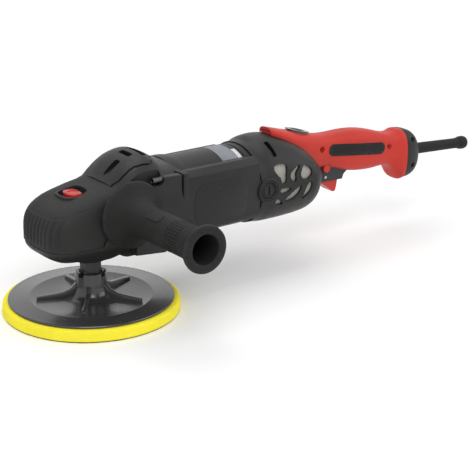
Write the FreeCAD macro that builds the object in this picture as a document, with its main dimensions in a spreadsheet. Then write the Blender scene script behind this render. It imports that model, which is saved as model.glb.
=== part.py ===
"""Rotary polisher: a geared electric polisher with a pad, side handle and trigger handle.

Millimetres, +Z up. The origin is the centre of the pad's working face, +X runs along the
motor to the rear handle, and the side handle points along -Y.
"""
import FreeCAD, Part
import math
import os
import re
import Sketcher
from FreeCAD import Placement, Rotation, Vector

SIZES = {
    # clearances
    "running_fit": 0.05,
    "seat_fit": 0.02,
    "cover_gap": 0.3,
    "moving_gap": 0.5,
    # pad and backing disc
    "pad_radius": 90,
    "hook_thick": 0.8,
    "foam_thick": 11.4,
    "foam_slant": 1.5,
    "disc_inset": 6,
    "disc_thick": 2.8,
    "hub_radius": 16,
    "hub_height": 26,
    "rib_reach": 55,
    "rib_thick": 4.5,
    "rib_count": 5,
    "rib_turn": 14.7,
    # spindle
    "thread_radius": 7,
    "insert_radius": 10,
    "collar_radius": 10.7,
    "collar_top": 59,
    "journal_radius": 7.5,
    "gear_seat_radius": 7,
    "upper_journal_radius": 4,
    # bearings: outer radius and width, the bore is the shaft's
    "lower_bearing_radius": 16,
    "lower_bearing_width": 9,
    "upper_bearing_radius": 11,
    "upper_bearing_width": 7,
    "front_bearing_radius": 16,
    "front_bearing_width": 10,
    "rear_bearing_radius": 11,
    "rear_bearing_width": 7,
    # bevel gears
    "motor_axis": 100,
    "gear_module": 1.75,
    "pinion_teeth": 9,
    "crown_teeth": 38,
    "tooth_face": 9.5,
    # crown heights below the motor's axis
    "hub_above": 6,
    "web_above": 12,
    "web_below": 18,
    "pressure_angle": 25,
    "tooth_backlash": 0.24,
    "tooth_clearance": 0.35,
    # head
    "boot_nose": 65,
    "boot_half": 42,
    "boot_wall": 2.7,
    "boot_bottom": 80,
    "boot_back": -8.3,
    "case_wall": 3.5,
    "case_bottom": 58,
    "case_top": 112,
    "case_step": 26,
    "neck_half": 36,
    "neck_bottom": 76,
    "case_back": 40,
    "boss_bottom": 54.5,
    # spindle lock
    "lock_circle": 15.5,
    "lock_pin_radius": 2.5,
    "lock_holes": 12,
    "lock_button_x": -18,
    "lock_button_long": 18,
    "lock_button_wide": 14,
    "lock_floor": 125.5,
    "lock_button_top": 130.5,
    # fan cowl and motor
    "cowl_wall": 3,
    "cowl_back": 89,
    "flange_thick": 6.5,
    "flange_radius": 59,
    "side_handle_x": 20.6,
    "side_handle_z": 108,
    "pin_radius": 1.5,
    "lock_on_radius": 4.6,
    "lock_on_x": 298.2,
    "lock_on_z": 97,
    "housing_radius": 45.5,
    "housing_flat": 43,
    "housing_wall": 3.3,
    "housing_back": 182,
    "shaft_radius": 6,
    "pinion_bore": 3,
    "rear_journal": 4,
    "fan_radius": 40,
    "fan_front": 53,
    "fan_width": 15,
    "fan_blades": 12,
    "core_front": 105,
    "core_length": 55,
    "core_radius": 22.5,
    "air_gap": 0.7,
    "commutator_x": 191,
    "commutator_radius": 14,
    "commutator_length": 20,
    "rear_bearing_x": 206,
    # rear cover
    "cover_radius": 48,
    "cover_wall": 2.6,
    "cover_flat": 45.2,
    "mesh_wall": 1.2,
    "cover_end": 278,
    "brush_wide": 7,
    "brush_long": 14,
    "brush_cap_radius": 8.5,
    # rear handle
    "handle_half": 17.5,
    "handle_wall": 2.6,
    "handle_back": 414,
    "cap_back": 440,
    "grip_low": 85,
    "grip_top": 133.6,
    "trigger_half": 8,
    "trigger_pivot_x": 299,
    "trigger_pivot_z": 86,
    "plunger_x": 309,
    "plunger_radius": 2.5,
    "dial_x": 264,
    "dial_z": 143.2,
    "dial_tilt": 14.5,
    "dial_radius": 7.6,
    "bezel_long": 13,
    "bezel_wide": 9.6,
    "guard_radius": 6.4,
    "guard_bore": 4.2,
    "guard_length": 86,
    "guard_droop": 4,
    "guard_height": 93,
    # side handle
    "stud_radius": 4,
    "shield_radius": 34.3,
    "shield_start": 46,
    "grip_radius": 16,
    "grip_length": 125,
    "grip_lip": 23.4,
    "grip_hollow": 14.2,
}

DOC = FreeCAD.newDocument("rotary_polisher")
SHEET = DOC.addObject("Spreadsheet::Sheet", "sizes")
for row, (alias, value) in enumerate(SIZES.items(), start=1):
    SHEET.set(f"A{row}", alias)
    SHEET.set(f"B{row}", str(value))
    SHEET.setAlias(f"B{row}", alias)
DOC.recompute()

ORIGIN = ("0", "0", "0")
TURNS = {
    "x": Rotation(Vector(0, 1, 0), 90),
    "y": Rotation(Vector(1, 0, 0), -90),
    "-y": Rotation(Vector(1, 0, 0), 90),
    "z": Rotation(),
}
NODES = []


# ---------------------------------------------------------------- helpers
def bound(text):
    """The expression with each alias read from the sheet."""
    def named(match):
        word = match.group(1)
        return f"sizes.{word}" if word in SIZES else word

    return re.sub(r"\b([a-z_]+)\b", named, str(text))


def size(text):
    """The value of an expression of sheet aliases, in millimetres or degrees."""
    return float(SHEET.evalExpression(bound(text)))


def bind(item, name, text):
    item.setExpression(name, bound(text))


def place(item, at=ORIGIN, along="z"):
    """Turn the local Z axis along an axis and bind the position to the sheet."""
    item.Placement = Placement(Vector(*[size(a) for a in at]), TURNS[along])
    for letter, text in zip("xyz", at):
        if text != "0":
            bind(item, f"Placement.Base.{letter}", text)
    return item


def new_sketch(body, name, plane, outline):
    """A closed outline of straight edges whose corners are bound to the sheet."""
    sketch = body.newObject("Sketcher::SketchObject", f"{name}_sketch")
    base = [f for f in body.Origin.OriginFeatures if f.Role == plane][0]
    sketch.AttachmentSupport = [(base, "")]
    sketch.MapMode = "FlatFace"
    corners = [Vector(size(a), size(b), 0) for a, b in outline]
    for start, end in zip(corners, corners[1:] + corners[:1]):
        sketch.addGeometry(Part.LineSegment(start, end), False)
    count = len(corners)
    for i in range(count):
        sketch.addConstraint(Sketcher.Constraint("Coincident", i, 2, (i + 1) % count, 1))
    for i, corner in enumerate(outline):
        for kind, text in zip(("DistanceX", "DistanceY"), corner):
            number = sketch.addConstraint(Sketcher.Constraint(kind, -1, 1, i, 1, size(text)))
            if re.search("[a-z]", text):
                bind(sketch, f"Constraints[{number}]", text)
    return sketch


def turned(name, outline, at=ORIGIN, along="z"):
    """A body revolved about its local Z axis from (radius, height) corners."""
    body = DOC.addObject("PartDesign::Body", name)
    sketch = new_sketch(body, name, "XZ_Plane", outline)
    revolve = body.newObject("PartDesign::Revolution", f"{name}_turn")
    revolve.Profile = sketch
    revolve.ReferenceAxis = (sketch, ["V_Axis"])
    revolve.Angle = 360
    return place(body, at, along)


def ring(name, outer, inner, length, at=ORIGIN, along="z"):
    """A plain tube from its outer and inner radius."""
    corners = [(inner, "0"), (outer, "0"), (outer, length), (inner, length)]
    return turned(name, corners, at, along)


def rod(name, radius, length, at=ORIGIN, along="z"):
    item = DOC.addObject("Part::Cylinder", name)
    bind(item, "Radius", radius)
    bind(item, "Height", length)
    return place(item, at, along)


def block(name, low, high):
    """A box between two corners, each given as three expressions."""
    item = DOC.addObject("Part::Box", name)
    for side, a, b in zip(("Length", "Width", "Height"), low, high):
        bind(item, side, f"({b}) - ({a})")
    return place(item, low)


def slab(name, outline, depth, at=ORIGIN, plane="XZ_Plane"):
    """An outline extruded to both sides of its plane, depth in all."""
    body = DOC.addObject("PartDesign::Body", name)
    sketch = new_sketch(body, name, plane, outline)
    pad = body.newObject("PartDesign::Pad", f"{name}_pad")
    pad.Profile = sketch
    pad.Midplane = True
    bind(pad, "Length", depth)
    return place(body, at)


def cut(name, base, *tools):
    """The base less the tools."""
    item = DOC.addObject("Part::Cut", name)
    item.Base = base
    item.Tool = tools[0] if len(tools) == 1 else fused(f"{name}_tools", *tools)
    return item


def fused(name, *items):
    item = DOC.addObject("Part::MultiFuse", name)
    item.Shapes = list(items)
    return item


def shared(name, *items):
    item = DOC.addObject("Part::MultiCommon", name)
    item.Shapes = list(items)
    return item


def group(name, items):
    """Identical or paired solids in one node."""
    item = DOC.addObject("Part::Compound", name)
    item.Links = list(items)
    return item


def coded(name, shape):
    item = DOC.addObject("Part::Feature", name)
    item.Shape = shape
    return item


def node(item):
    """Mark a finished sub-part for its own file, named by its label."""
    NODES.append(item)
    return item


def closed_curve(points):
    """A smooth closed wire through points."""
    spline = Part.BSplineCurve()
    spline.interpolate(Points=points, PeriodicFlag=True)
    return Part.Wire(spline.toShape())


def oval_section(x, half, low, top, power=2.6, count=20, below=None, middle=None):
    """A squared oval across the X axis, from its half width, lowest and highest points.

    A higher power squares it more; below gives the lower half a power of its own, and
    middle the height of its widest line.
    """
    middle = (low + top) / 2 if middle is None else middle
    points = []
    for i in range(count):
        angle = 2 * math.pi * i / count
        c, s = math.cos(angle), math.sin(angle)
        squared = below if below and s < 0 else power
        y = half * math.copysign(abs(c) ** (2 / squared), c)
        rise = (top - middle) if s > 0 else (middle - low)
        z = middle + rise * math.copysign(abs(s) ** (2 / squared), s)
        points.append(Vector(x, y, z))
    return closed_curve(points)


def loft(wires, ruled=False):
    return Part.makeLoft(wires, True, ruled)


def carve(base, *tools):
    """The base less curved tools, with a boolean tolerance of a thousandth."""
    return base.cut(list(tools), 0.001)


# ---------------------------------------------------------------- bearings
def bearing(name, bore, radius, width, at, along):
    """A ball bearing: the inner ring turns with its shaft, balls and outer ring stay."""
    wall = f"({radius} - {bore}) * 0.3"
    inner_radius = f"{bore} + seat_fit"
    inner = ring(f"{name}_inner_ring", f"{bore} + {wall}", inner_radius, width, at, along)
    outer_ring = ring(
        f"{name}_outer_race", f"{radius} - seat_fit", f"{radius} - {wall}", width, at, along
    )
    middle = size(f"({radius} + {bore}) / 2")
    ball = size(f"({radius} - {bore}) * 0.2 - running_fit")
    count = int(math.pi * middle / ball * 0.8)
    centre = Vector(*[size(a) for a in at])
    balls = []
    for i in range(count):
        angle = 2 * math.pi * i / count
        flat = Vector(middle * math.cos(angle), middle * math.sin(angle), size(width) / 2)
        balls.append(Part.makeSphere(ball, centre + TURNS[along].multVec(flat)))
    set_of_balls = coded(f"{name}_balls", Part.makeCompound(balls))
    return node(inner), node(group(f"{name}_outer_ring", [outer_ring, set_of_balls]))


# ---------------------------------------------------------------- pad
def build_pad():
    foam_top = "hook_thick + foam_thick"
    disc_top = f"{foam_top} + disc_thick"
    hub_top = f"{disc_top} + hub_height"
    disc_radius = "pad_radius - disc_inset"
    node(rod("hook_face", "pad_radius - 1", "hook_thick"))
    foam = [
        ("0", "hook_thick"),
        ("pad_radius - 0.8", "hook_thick"),
        ("pad_radius", "hook_thick + 1.5"),
        ("pad_radius - foam_slant", foam_top),
        ("0", foam_top),
    ]
    node(turned("foam_pad", foam))

    bore = "insert_radius + seat_fit"
    disc = [
        (bore, foam_top),
        (disc_radius, foam_top),
        (f"{disc_radius} - 0.5", disc_top),
        ("hub_radius + 9", disc_top),
        ("hub_radius + 3.5", f"{disc_top} + 3.5"),
        ("hub_radius", f"{disc_top} + 10"),
        ("hub_radius", hub_top),
        ("collar_radius + moving_gap", hub_top),
        ("collar_radius + moving_gap", f"{hub_top} - 2"),
        (bore, f"{hub_top} - 2"),
    ]
    body = turned("backing_disc", disc)
    rib = [
        ("hub_radius - 3", f"{foam_top} + 1"),
        ("rib_reach", f"{foam_top} + 1"),
        ("rib_reach", f"{disc_top} + 3.2"),
        ("rib_reach - 22", f"{disc_top} + 4.6"),
        ("hub_radius + 6", f"{disc_top} + 7.5"),
        ("hub_radius - 3", f"{disc_top} + 14"),
    ]
    sketch = new_sketch(body, "rib", "XZ_Plane", rib)
    pad = body.newObject("PartDesign::Pad", "rib_pad")
    pad.Profile = sketch
    pad.Midplane = True
    bind(pad, "Length", "rib_thick")
    DOC.recompute()
    pattern = body.newObject("PartDesign::PolarPattern", "rib_pattern")
    pattern.Originals = [pad]
    axis = [f for f in body.Origin.OriginFeatures if f.Role == "Z_Axis"][0]
    pattern.Axis = (axis, [""])
    pattern.Angle = 360
    bind(pattern, "Occurrences", "rib_count")
    body.Tip = pattern
    body.Placement = Placement(Vector(), Rotation(Vector(0, 0, 1), size("rib_turn")))
    bind(body, "Placement.Rotation.Angle", "rib_turn")
    node(body)

    insert_top = f"{hub_top} - 2"
    thread = "thread_radius + running_fit"
    node(ring("hub_insert", "insert_radius", thread, f"{insert_top} - ({foam_top} + 1.8)",
              ("0", "0", f"{foam_top} + 1.8")))
    return insert_top


def build_spindle(insert_top):
    bearing_low = "collar_top + 5"
    gear_low = f"{bearing_low} + lower_bearing_width"
    upper_low = "case_top - case_wall - upper_bearing_width"
    profile = [
        ("0", f"{insert_top} - 19"),
        ("thread_radius", f"{insert_top} - 19"),
        ("thread_radius", insert_top),
        ("collar_radius", insert_top),
        ("collar_radius", "collar_top"),
        ("collar_radius - 1.6", "collar_top"),
        ("collar_radius - 1.6", bearing_low),
        ("journal_radius", bearing_low),
        ("journal_radius", gear_low),
        ("gear_seat_radius", gear_low),
        ("gear_seat_radius", "motor_axis - hub_above"),
        ("gear_seat_radius - 1.5", "motor_axis - hub_above"),
        ("gear_seat_radius - 1.5", upper_low),
        ("upper_journal_radius", upper_low),
        ("upper_journal_radius", f"{upper_low} + upper_bearing_width"),
        ("0", f"{upper_low} + upper_bearing_width"),
    ]
    node(turned("spindle", profile))
    bearing("spindle_lower", "journal_radius", "lower_bearing_radius", "lower_bearing_width",
            ("0", "0", bearing_low), "z")
    bearing("spindle_upper", "upper_journal_radius", "upper_bearing_radius",
            "upper_bearing_width", ("0", "0", upper_low), "z")
    return gear_low


# ---------------------------------------------------------------- bevel gears
class Bevel:
    """The pair's pitch cones, which share their tip where the two axes cross."""

    def __init__(self):
        self.pinion = size("pinion_teeth")
        self.crown = size("crown_teeth")
        self.module = size("gear_module")
        self.reach = self.module * math.hypot(self.pinion, self.crown) / 2
        self.face = size("tooth_face")
        self.addendum = 0.8 * self.module
        self.dedendum = self.addendum + size("tooth_clearance")
        self.pressure = math.radians(size("pressure_angle"))

    def cone(self, teeth, others):
        return math.atan2(teeth, others)

    def half_tooth(self, radius, virtual):
        """Half of a tooth's angle on its unrolled back cone, at one radius of that cone."""
        pitch = virtual * self.module / 2
        base = pitch * math.cos(self.pressure)
        at_pitch = math.pi / (2 * virtual) - size("tooth_backlash") / (4 * pitch)
        involute = math.tan(self.pressure) - self.pressure
        if radius <= base:
            return at_pitch + involute
        slope = math.acos(base / radius)
        return at_pitch + involute - (math.tan(slope) - slope)

    def tooth(self, teeth, others):
        """One tooth about the local Z axis, centred over +X: a pyramid that ends at the tip."""
        cone = self.cone(teeth, others)
        pitch_radius = teeth * self.module / 2
        back = pitch_radius / math.cos(cone)
        virtual = teeth / math.cos(cone)
        pitch_line = Vector(math.sin(cone), 0, math.cos(cone))
        flank = []
        low = back - self.dedendum - 0.6
        steps = 7
        for i in range(steps + 1):
            radius = low + (back + self.addendum - low) * i / steps
            spread = self.half_tooth(radius, virtual) / math.cos(cone)
            from_axis = radius * math.cos(cone)
            height = self.reach / math.cos(cone) - radius * math.sin(cone)
            point = Vector(from_axis * math.cos(spread), from_axis * math.sin(spread), height)
            flank.append(point * (self.reach / point.dot(pitch_line)))
        other = [Vector(p.x, -p.y, p.z) for p in reversed(flank)]
        outline = flank + other
        inner = [p * ((self.reach - self.face) / self.reach) for p in outline]
        heel = Part.makePolygon(outline + outline[:1])
        toe = Part.makePolygon(inner + inner[:1])
        return loft([heel, toe], True)

    def toothed(self, teeth, others, blank):
        """The blank with its ring of teeth, and the blank's outline kept inside the heel."""
        tooth = self.tooth(teeth, others)
        ring_of_teeth = []
        for i in range(int(teeth)):
            one = tooth.copy()
            one.rotate(Vector(), Vector(0, 0, 1), 360 * i / teeth)
            ring_of_teeth.append(one)
        return blank.multiFuse(ring_of_teeth).removeSplitter()


def spun(outline):
    """A solid revolved about Z from (radius, height) values."""
    points = [Vector(r, 0, h) for r, h in outline]
    face = Part.Face(Part.makePolygon(points + points[:1]))
    return face.revolve(Vector(), Vector(0, 0, 1), 360)


def build_gears(gear_low):
    gears = Bevel()
    root = gears.dedendum / gears.reach
    toe = gears.reach - gears.face

    # the crown's local Z points down from the cones' tip
    angle = gears.cone(gears.crown, gears.pinion) - root
    axis = size("motor_axis")
    bore = size("gear_seat_radius + seat_fit")
    hub = bore + 4
    bottom = axis - size(gear_low)
    rim_radius, rim_depth = gears.reach * math.sin(angle), gears.reach * math.cos(angle)
    outline = [
        (bore, size("hub_above")),
        (hub, size("hub_above")),
        (hub, size("web_above")),
        (toe * math.sin(angle) - 3, size("web_above")),
        (toe * math.sin(angle), toe * math.cos(angle)),
        (rim_radius, rim_depth),
        (rim_radius - 1.2, rim_depth + 5),
        (hub + 10, size("web_below")),
        (hub + 1, size("web_below")),
        (hub + 1, bottom),
        (bore, bottom),
    ]
    crown = gears.toothed(gears.crown, gears.pinion, spun(outline))
    # a gap of the crown faces +X, where a tooth of the pinion points down
    crown.rotate(Vector(), Vector(0, 0, 1), 180 / gears.crown)
    crown.rotate(Vector(), Vector(1, 0, 0), 180)
    crown.translate(Vector(0, 0, axis))
    count = int(size("lock_holes"))
    for i in range(count):
        turn = 2 * math.pi * i / count
        centre = Vector(math.cos(turn), math.sin(turn), 0) * size("lock_circle")
        centre.z = axis - gears.reach
        crown = crown.cut(Part.makeCylinder(size("lock_pin_radius + 0.45"),
                                            gears.reach, centre))
    node(coded("crown_gear", crown))

    angle = gears.cone(gears.pinion, gears.crown) - root
    bore = size("pinion_bore + seat_fit")
    heel = gears.reach * math.cos(angle)
    outline = [
        (bore, toe * math.cos(angle)),
        (toe * math.sin(angle), toe * math.cos(angle)),
        (gears.reach * math.sin(angle), heel),
        (gears.reach * math.sin(angle) + 0.8, heel + 1),
        (gears.reach * math.sin(angle) + 0.8, size("case_back - 2.3")),
        (bore, size("case_back - 2.3")),
    ]
    pinion = gears.toothed(gears.pinion, gears.crown, spun(outline))
    pinion.rotate(Vector(), Vector(0, 1, 0), 90)
    pinion.translate(Vector(0, 0, axis))
    node(coded("bevel_pinion", pinion))
    return toe * math.cos(angle)


# ---------------------------------------------------------------- head
def nose_wire(nose, half, back, height, power=4.0, count=12):
    """A squared nose towards -X with straight sides that run back."""
    points = []
    for i in range(count + 1):
        angle = math.pi * i / count
        c, s = math.cos(angle), math.sin(angle)
        y = -half * math.copysign(abs(c) ** (2 / power), c)
        points.append(Vector(-nose * abs(s) ** (2 / power), y, height))
    spline = Part.BSplineCurve()
    spline.interpolate(Points=points, InitialTangent=Vector(-1, 0, 0),
                       FinalTangent=Vector(1, 0, 0))
    near = Vector(back, -half, height)
    far = Vector(back, half, height)
    edges = [
        spline.toShape(),
        Part.LineSegment(points[-1], far).toShape(),
        Part.LineSegment(far, near).toShape(),
        Part.LineSegment(near, points[0]).toShape(),
    ]
    return Part.Wire(edges)


def nose_solid(nose, half, back, low, shoulder, top):
    """A nose with a rounded underside up to the shoulder and straight sides above it."""
    under = []
    tuck_nose = size("boot_nose") * 0.32
    tuck_half = size("boot_half") * 0.43
    steps = 5
    for i in range(steps + 1):
        angle = math.pi / 2 * i / steps
        tuck = 1 - math.sin(angle)
        height = shoulder - (shoulder - low) * math.cos(angle)
        under.append(nose_wire(nose - tuck_nose * tuck, half - tuck_half * tuck, back, height))
    lower = loft(under)
    upper = Part.Face(nose_wire(nose, half, back, shoulder)).extrude(
        Vector(0, 0, top - shoulder)
    )
    return lower.fuse(upper).removeSplitter()


def case_profile():
    """The gear case's nose and half width, inside its cover."""
    skin = size("boot_wall + cover_gap")
    return size("boot_nose") - skin, size("boot_half") - skin


def under_cover(solid, inset):
    """The part of a solid that fits inside the head cover, or lies below or behind it."""
    skin = size("boot_wall + cover_gap") + inset
    low = Part.makeBox(400, 400, 200, Vector(-200, -200, size("boot_bottom") - 200))
    behind = Part.makeBox(200, 400, 400, Vector(size("boot_back"), -200, 0))
    return solid.common(boot_body(skin).fuse([low, behind])).removeSplitter()


def build_case():
    nose, half = case_profile()
    wall = size("case_wall")
    low, top = size("case_bottom"), size("case_top")
    shoulder = size("boot_bottom")
    step, back = size("case_step"), size("case_back")
    outer = coded("case_outer", under_cover(
        nose_solid(nose, half, step, low, shoulder, top), 0))
    inner = coded("case_inner", under_cover(
        nose_solid(nose - wall, half - wall, step - wall, low + wall + 1, shoulder, top - wall),
        wall))
    neck = block("case_neck", ("case_step - case_wall", "-neck_half", "neck_bottom"),
                 ("case_back", "neck_half", "case_top"))
    bore = block("case_neck_bore",
                 ("0", "case_wall - neck_half", "neck_bottom + case_wall"),
                 ("case_back + 1", "neck_half - case_wall", "case_top - case_wall"))
    lower_seat = "collar_top + 5"
    upper_low = "case_top - case_wall - upper_bearing_width"
    nub = rod("case_nub", "lower_bearing_radius + 1", "10", ("0", "0", "boss_bottom"))
    boss = rod("case_boss", "lower_bearing_radius + 6",
               f"{lower_seat} + lower_bearing_width - case_bottom - 2",
               ("0", "0", "case_bottom + 2"))
    top_boss = rod("case_top_boss", "upper_bearing_radius + 3",
                   "upper_bearing_width + 1", ("0", "0", upper_low))
    guide = rod("case_pin_guide", "lock_pin_radius + 2.5", "case_wall + 5",
                ("-lock_circle", "0", "case_top - case_wall - 5"))
    hollow = cut("case_hollow", fused("case_solid", outer, neck), inner, bore)
    bosses = [nub, boss, top_boss, guide]
    screw_seats = []
    drills = [
        rod("case_bearing_seat", "lower_bearing_radius", "20", ("0", "0", lower_seat)),
        rod("case_seal_seat", "collar_radius + 4", "10", ("0", "0", "collar_top + moving_gap")),
        rod("case_spindle_hole", "collar_radius + moving_gap", "30", ("0", "0", "40")),
        rod("case_upper_seat", "upper_bearing_radius", "upper_bearing_width",
            ("0", "0", upper_low)),
        rod("case_pin_hole", "lock_pin_radius + running_fit", "30",
            ("-lock_circle", "0", "case_top - case_wall - 12")),
        rod("case_bearing_room", "front_bearing_radius + moving_gap", "5",
            ("case_back - 2.6", "0", "motor_axis"), "x"),
        rod("case_pinion_room", "(pinion_teeth / 2 + 1.4) * gear_module", "30",
            ("case_back - 24", "0", "motor_axis"), "x"),
    ]
    for i, (x, y) in enumerate(retainer_places()):
        drills.append(rod(f"case_retainer_hole_{i}", "1.5 + seat_fit", "8",
                          (x, y, f"{lower_seat} + lower_bearing_width - 5.5")))
    for i, (y, z) in enumerate(screw_places()):
        seat = rod(f"case_screw_boss_{i}", "5", "10", ("case_back - 10", y, z), "x")
        screw_seats.append(seat)
        drills.append(
            rod(f"case_screw_hole_{i}", "2.5 + seat_fit", "10", ("case_back - 9", y, z), "x")
        )
    for side, turn in (("near", "-y"), ("far", "y")):
        sign = "-" if side == "near" else ""
        bosses.append(rod(f"case_handle_boss_{side}", "9", "shield_start - 1.2 - 31",
                          ("side_handle_x", f"{sign}31", "side_handle_z"), turn))
        drills.append(rod(f"case_handle_hole_{side}", "stud_radius", "shield_start - 1.2 - 32",
                          ("side_handle_x", f"{sign}33", "side_handle_z"), turn))
    solid = fused("case_whole", hollow, *bosses, *screw_seats)
    node(cut("gear_case", solid, *drills))


def retainer_places():
    """The four screws of the lower bearing's retainer, as (x, y)."""
    reach = "(lower_bearing_radius + 3)"
    return [(f"{reach} * cos({angle})", f"{reach} * sin({angle})")
            for angle in range(45, 405, 90)]


def screw_places():
    """The four screws that hold the bearing bracket, as (y, z)."""
    low, high = "motor_axis - 19", "motor_axis + 4"
    return [("-28.2", low), ("28.2", low), ("-28.2", high), ("28.2", high)]


def build_seal_and_bracket():
    seal_low = "collar_top + moving_gap"
    node(ring("spindle_seal", "collar_radius + 4 - seat_fit", "collar_radius - 1.6 + running_fit",
              "5 - moving_gap - 0.1", ("0", "0", seal_low)))
    retain_low = "collar_top + 5 + lower_bearing_width"
    retainer = ring("bearing_retainer", "lower_bearing_radius + 6", "journal_radius + 5", "2",
                    ("0", "0", retain_low))
    screws = []
    holes = []
    for i, (x, y) in enumerate(retainer_places()):
        shank = rod(f"retainer_shank_{i}", "1.5", "7", (x, y, f"{retain_low} - 5"))
        head = rod(f"retainer_head_{i}", "2.6", "1.6", (x, y, f"{retain_low} + 2"))
        screws.append(fused(f"retainer_screw_{i}", shank, head))
        holes.append(rod(f"retainer_hole_{i}", "1.5 + seat_fit", "4",
                         (x, y, f"{retain_low} - 1")))
    node(cut("bearing_retainer_plate", retainer, *holes))
    node(group("retainer_screws", screws))

    seat_front = "case_back - 2"
    plate = turned("bracket_plate", [
        ("front_bearing_radius", "2"),
        ("neck_half + 2.5", "2"),
        ("neck_half + 2.5", "7"),
        ("front_bearing_radius + 4", "7"),
        ("front_bearing_radius + 4", "front_bearing_width + 2"),
        ("shaft_radius + 4", "front_bearing_width + 2"),
        ("shaft_radius + 4", "front_bearing_width"),
        ("front_bearing_radius", "front_bearing_width"),
    ], (seat_front, "0", "motor_axis"), "x")
    holes = []
    screws = []
    for i, (y, z) in enumerate(screw_places()):
        holes.append(rod(f"bracket_hole_{i}", "2.5 + seat_fit", "9", ("case_back - 1", y, z), "x"))
        shank = rod(f"bracket_shank_{i}", "2.5", "13", ("case_back - 8", y, z), "x")
        head = rod(f"bracket_head_{i}", "4", "3", ("case_back + 5", y, z), "x")
        screws.append(fused(f"bracket_screw_{i}", shank, head))
    node(cut("bearing_bracket", plate, *holes))
    node(group("bracket_screws", screws))
    bearing("armature_front", "shaft_radius", "front_bearing_radius", "front_bearing_width",
            (seat_front, "0", "motor_axis"), "x")


def boot_side(inset):
    """The cover's outline from the side: a low nose that climbs to the fan cowl."""
    nose, back = size("boot_nose") - inset, size("boot_back") + 1
    low = size("boot_bottom") - 1
    points = [Vector(-nose - 2, 0, low), Vector(back, 0, low), Vector(back, 0, 136.6 - inset)]
    shoulder = [Vector(back, 0, 136.6 - inset), Vector(-34, 0, 131 - inset),
                Vector(-52, 0, 123.6 - inset), Vector(-62, 0, 112 - inset),
                Vector(-nose - 2, 0, 98 - inset)]
    spline = Part.BSplineCurve()
    spline.interpolate(Points=shoulder)
    edges = [Part.LineSegment(a, b).toShape() for a, b in zip(points, points[1:])]
    edges.append(spline.toShape())
    edges.append(Part.LineSegment(shoulder[-1], points[0]).toShape())
    return Part.Face(Part.Wire(edges))


def boot_body(inset):
    """The cover's nose cut to its side outline, rounded across by a second cut."""
    nose, half = size("boot_nose") - inset, size("boot_half") - inset
    bottom, back = size("boot_bottom"), size("boot_back")
    plan = Part.Face(nose_wire(nose, half, 5, bottom - (1 if inset else 0)))
    plan = plan.extrude(Vector(0, 0, 80))
    side = boot_side(inset).extrude(Vector(0, 120, 0))
    side.translate(Vector(0, -60, 0))
    crown = [oval_section(-80, half + 0.01, 40 + inset, 126 - inset, 3.2),
             oval_section(back, half + 0.01, 40 + inset, 138.4 - inset, 3.2)]
    front = Part.makeBox(100, 200, 200, Vector(back - 100, -100, 0))
    return plan.common(side).common(loft(crown, True)).common(front)


def build_boot():
    outer = coded("boot_outer", boot_body(0))
    inner = coded("boot_inner", boot_body(size("boot_wall")))
    tub_long = "lock_button_long + 12"
    tub_wide = "lock_button_wide + 4"
    tub = block("boot_tub",
                (f"lock_button_x - ({tub_long}) / 2 - 2", f"-({tub_wide}) / 2 - 2",
                 "lock_floor - 2.7"),
                (f"lock_button_x + ({tub_long}) / 2 - 3.2", f"({tub_wide}) / 2 + 2", "140"))
    tub_inside = shared("boot_tub_inside", tub, outer)
    shell = fused("boot_shell", cut("boot_skin", outer, inner), tub_inside)
    recess = block("boot_recess",
                   (f"lock_button_x - ({tub_long}) / 2", f"-({tub_wide}) / 2", "lock_floor"),
                   (f"lock_button_x + ({tub_long}) / 2 - 5", f"({tub_wide}) / 2", "150"))
    well = block("boot_button_well",
                 ("lock_button_x - lock_button_long / 2 - moving_gap",
                  "-lock_button_wide / 2 - moving_gap", "lock_floor - 10"),
                 ("lock_button_x + lock_button_long / 2 + moving_gap",
                  "lock_button_wide / 2 + moving_gap", "lock_floor + 1"))
    node(cut("head_cover", shell, recess, well))


def build_spindle_lock():
    flange_top = "lock_floor - 2.7 - moving_gap"
    flange_low = f"{flange_top} - 3"
    top = block("lock_button_body",
                ("lock_button_x - lock_button_long / 2", "-lock_button_wide / 2", flange_low),
                ("lock_button_x + lock_button_long / 2", "lock_button_wide / 2",
                 "lock_button_top"))
    flange = block("lock_button_flange",
                   ("lock_button_x - lock_button_long / 2 - 1.5", "-lock_button_wide / 2 - 1.5",
                    flange_low),
                   ("lock_button_x + lock_button_long / 2 + 1.5", "lock_button_wide / 2 + 1.5",
                    flange_top))
    node(fused("spindle_lock_button", top, flange))
    pin_low = "motor_axis - web_above + 1"
    node(rod("spindle_lock_pin", "lock_pin_radius", f"{flange_low} - ({pin_low})",
             ("-lock_circle", "0", pin_low)))
    node(coded("spindle_lock_spring", coil(
        size("lock_pin_radius + 1.2"), 0.4, size(f"{flange_low} - case_top"), 2.5,
        Vector(-size("lock_circle"), 0, size("case_top")))))


def coil(radius, wire, length, turns, base):
    """A round-wire compression spring that stands on its base along Z."""
    rise = length - 2 * wire
    helix = Part.makeHelix(rise / turns, rise, radius)
    start = Vector(radius, 0, 0)
    section = Part.Wire(Part.makeCircle(wire, start, Vector(0, 1, 0)))
    sweep = Part.Wire(helix).makePipeShell([section], True, True)
    sweep.translate(base + Vector(0, 0, wire))
    return sweep


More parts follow.
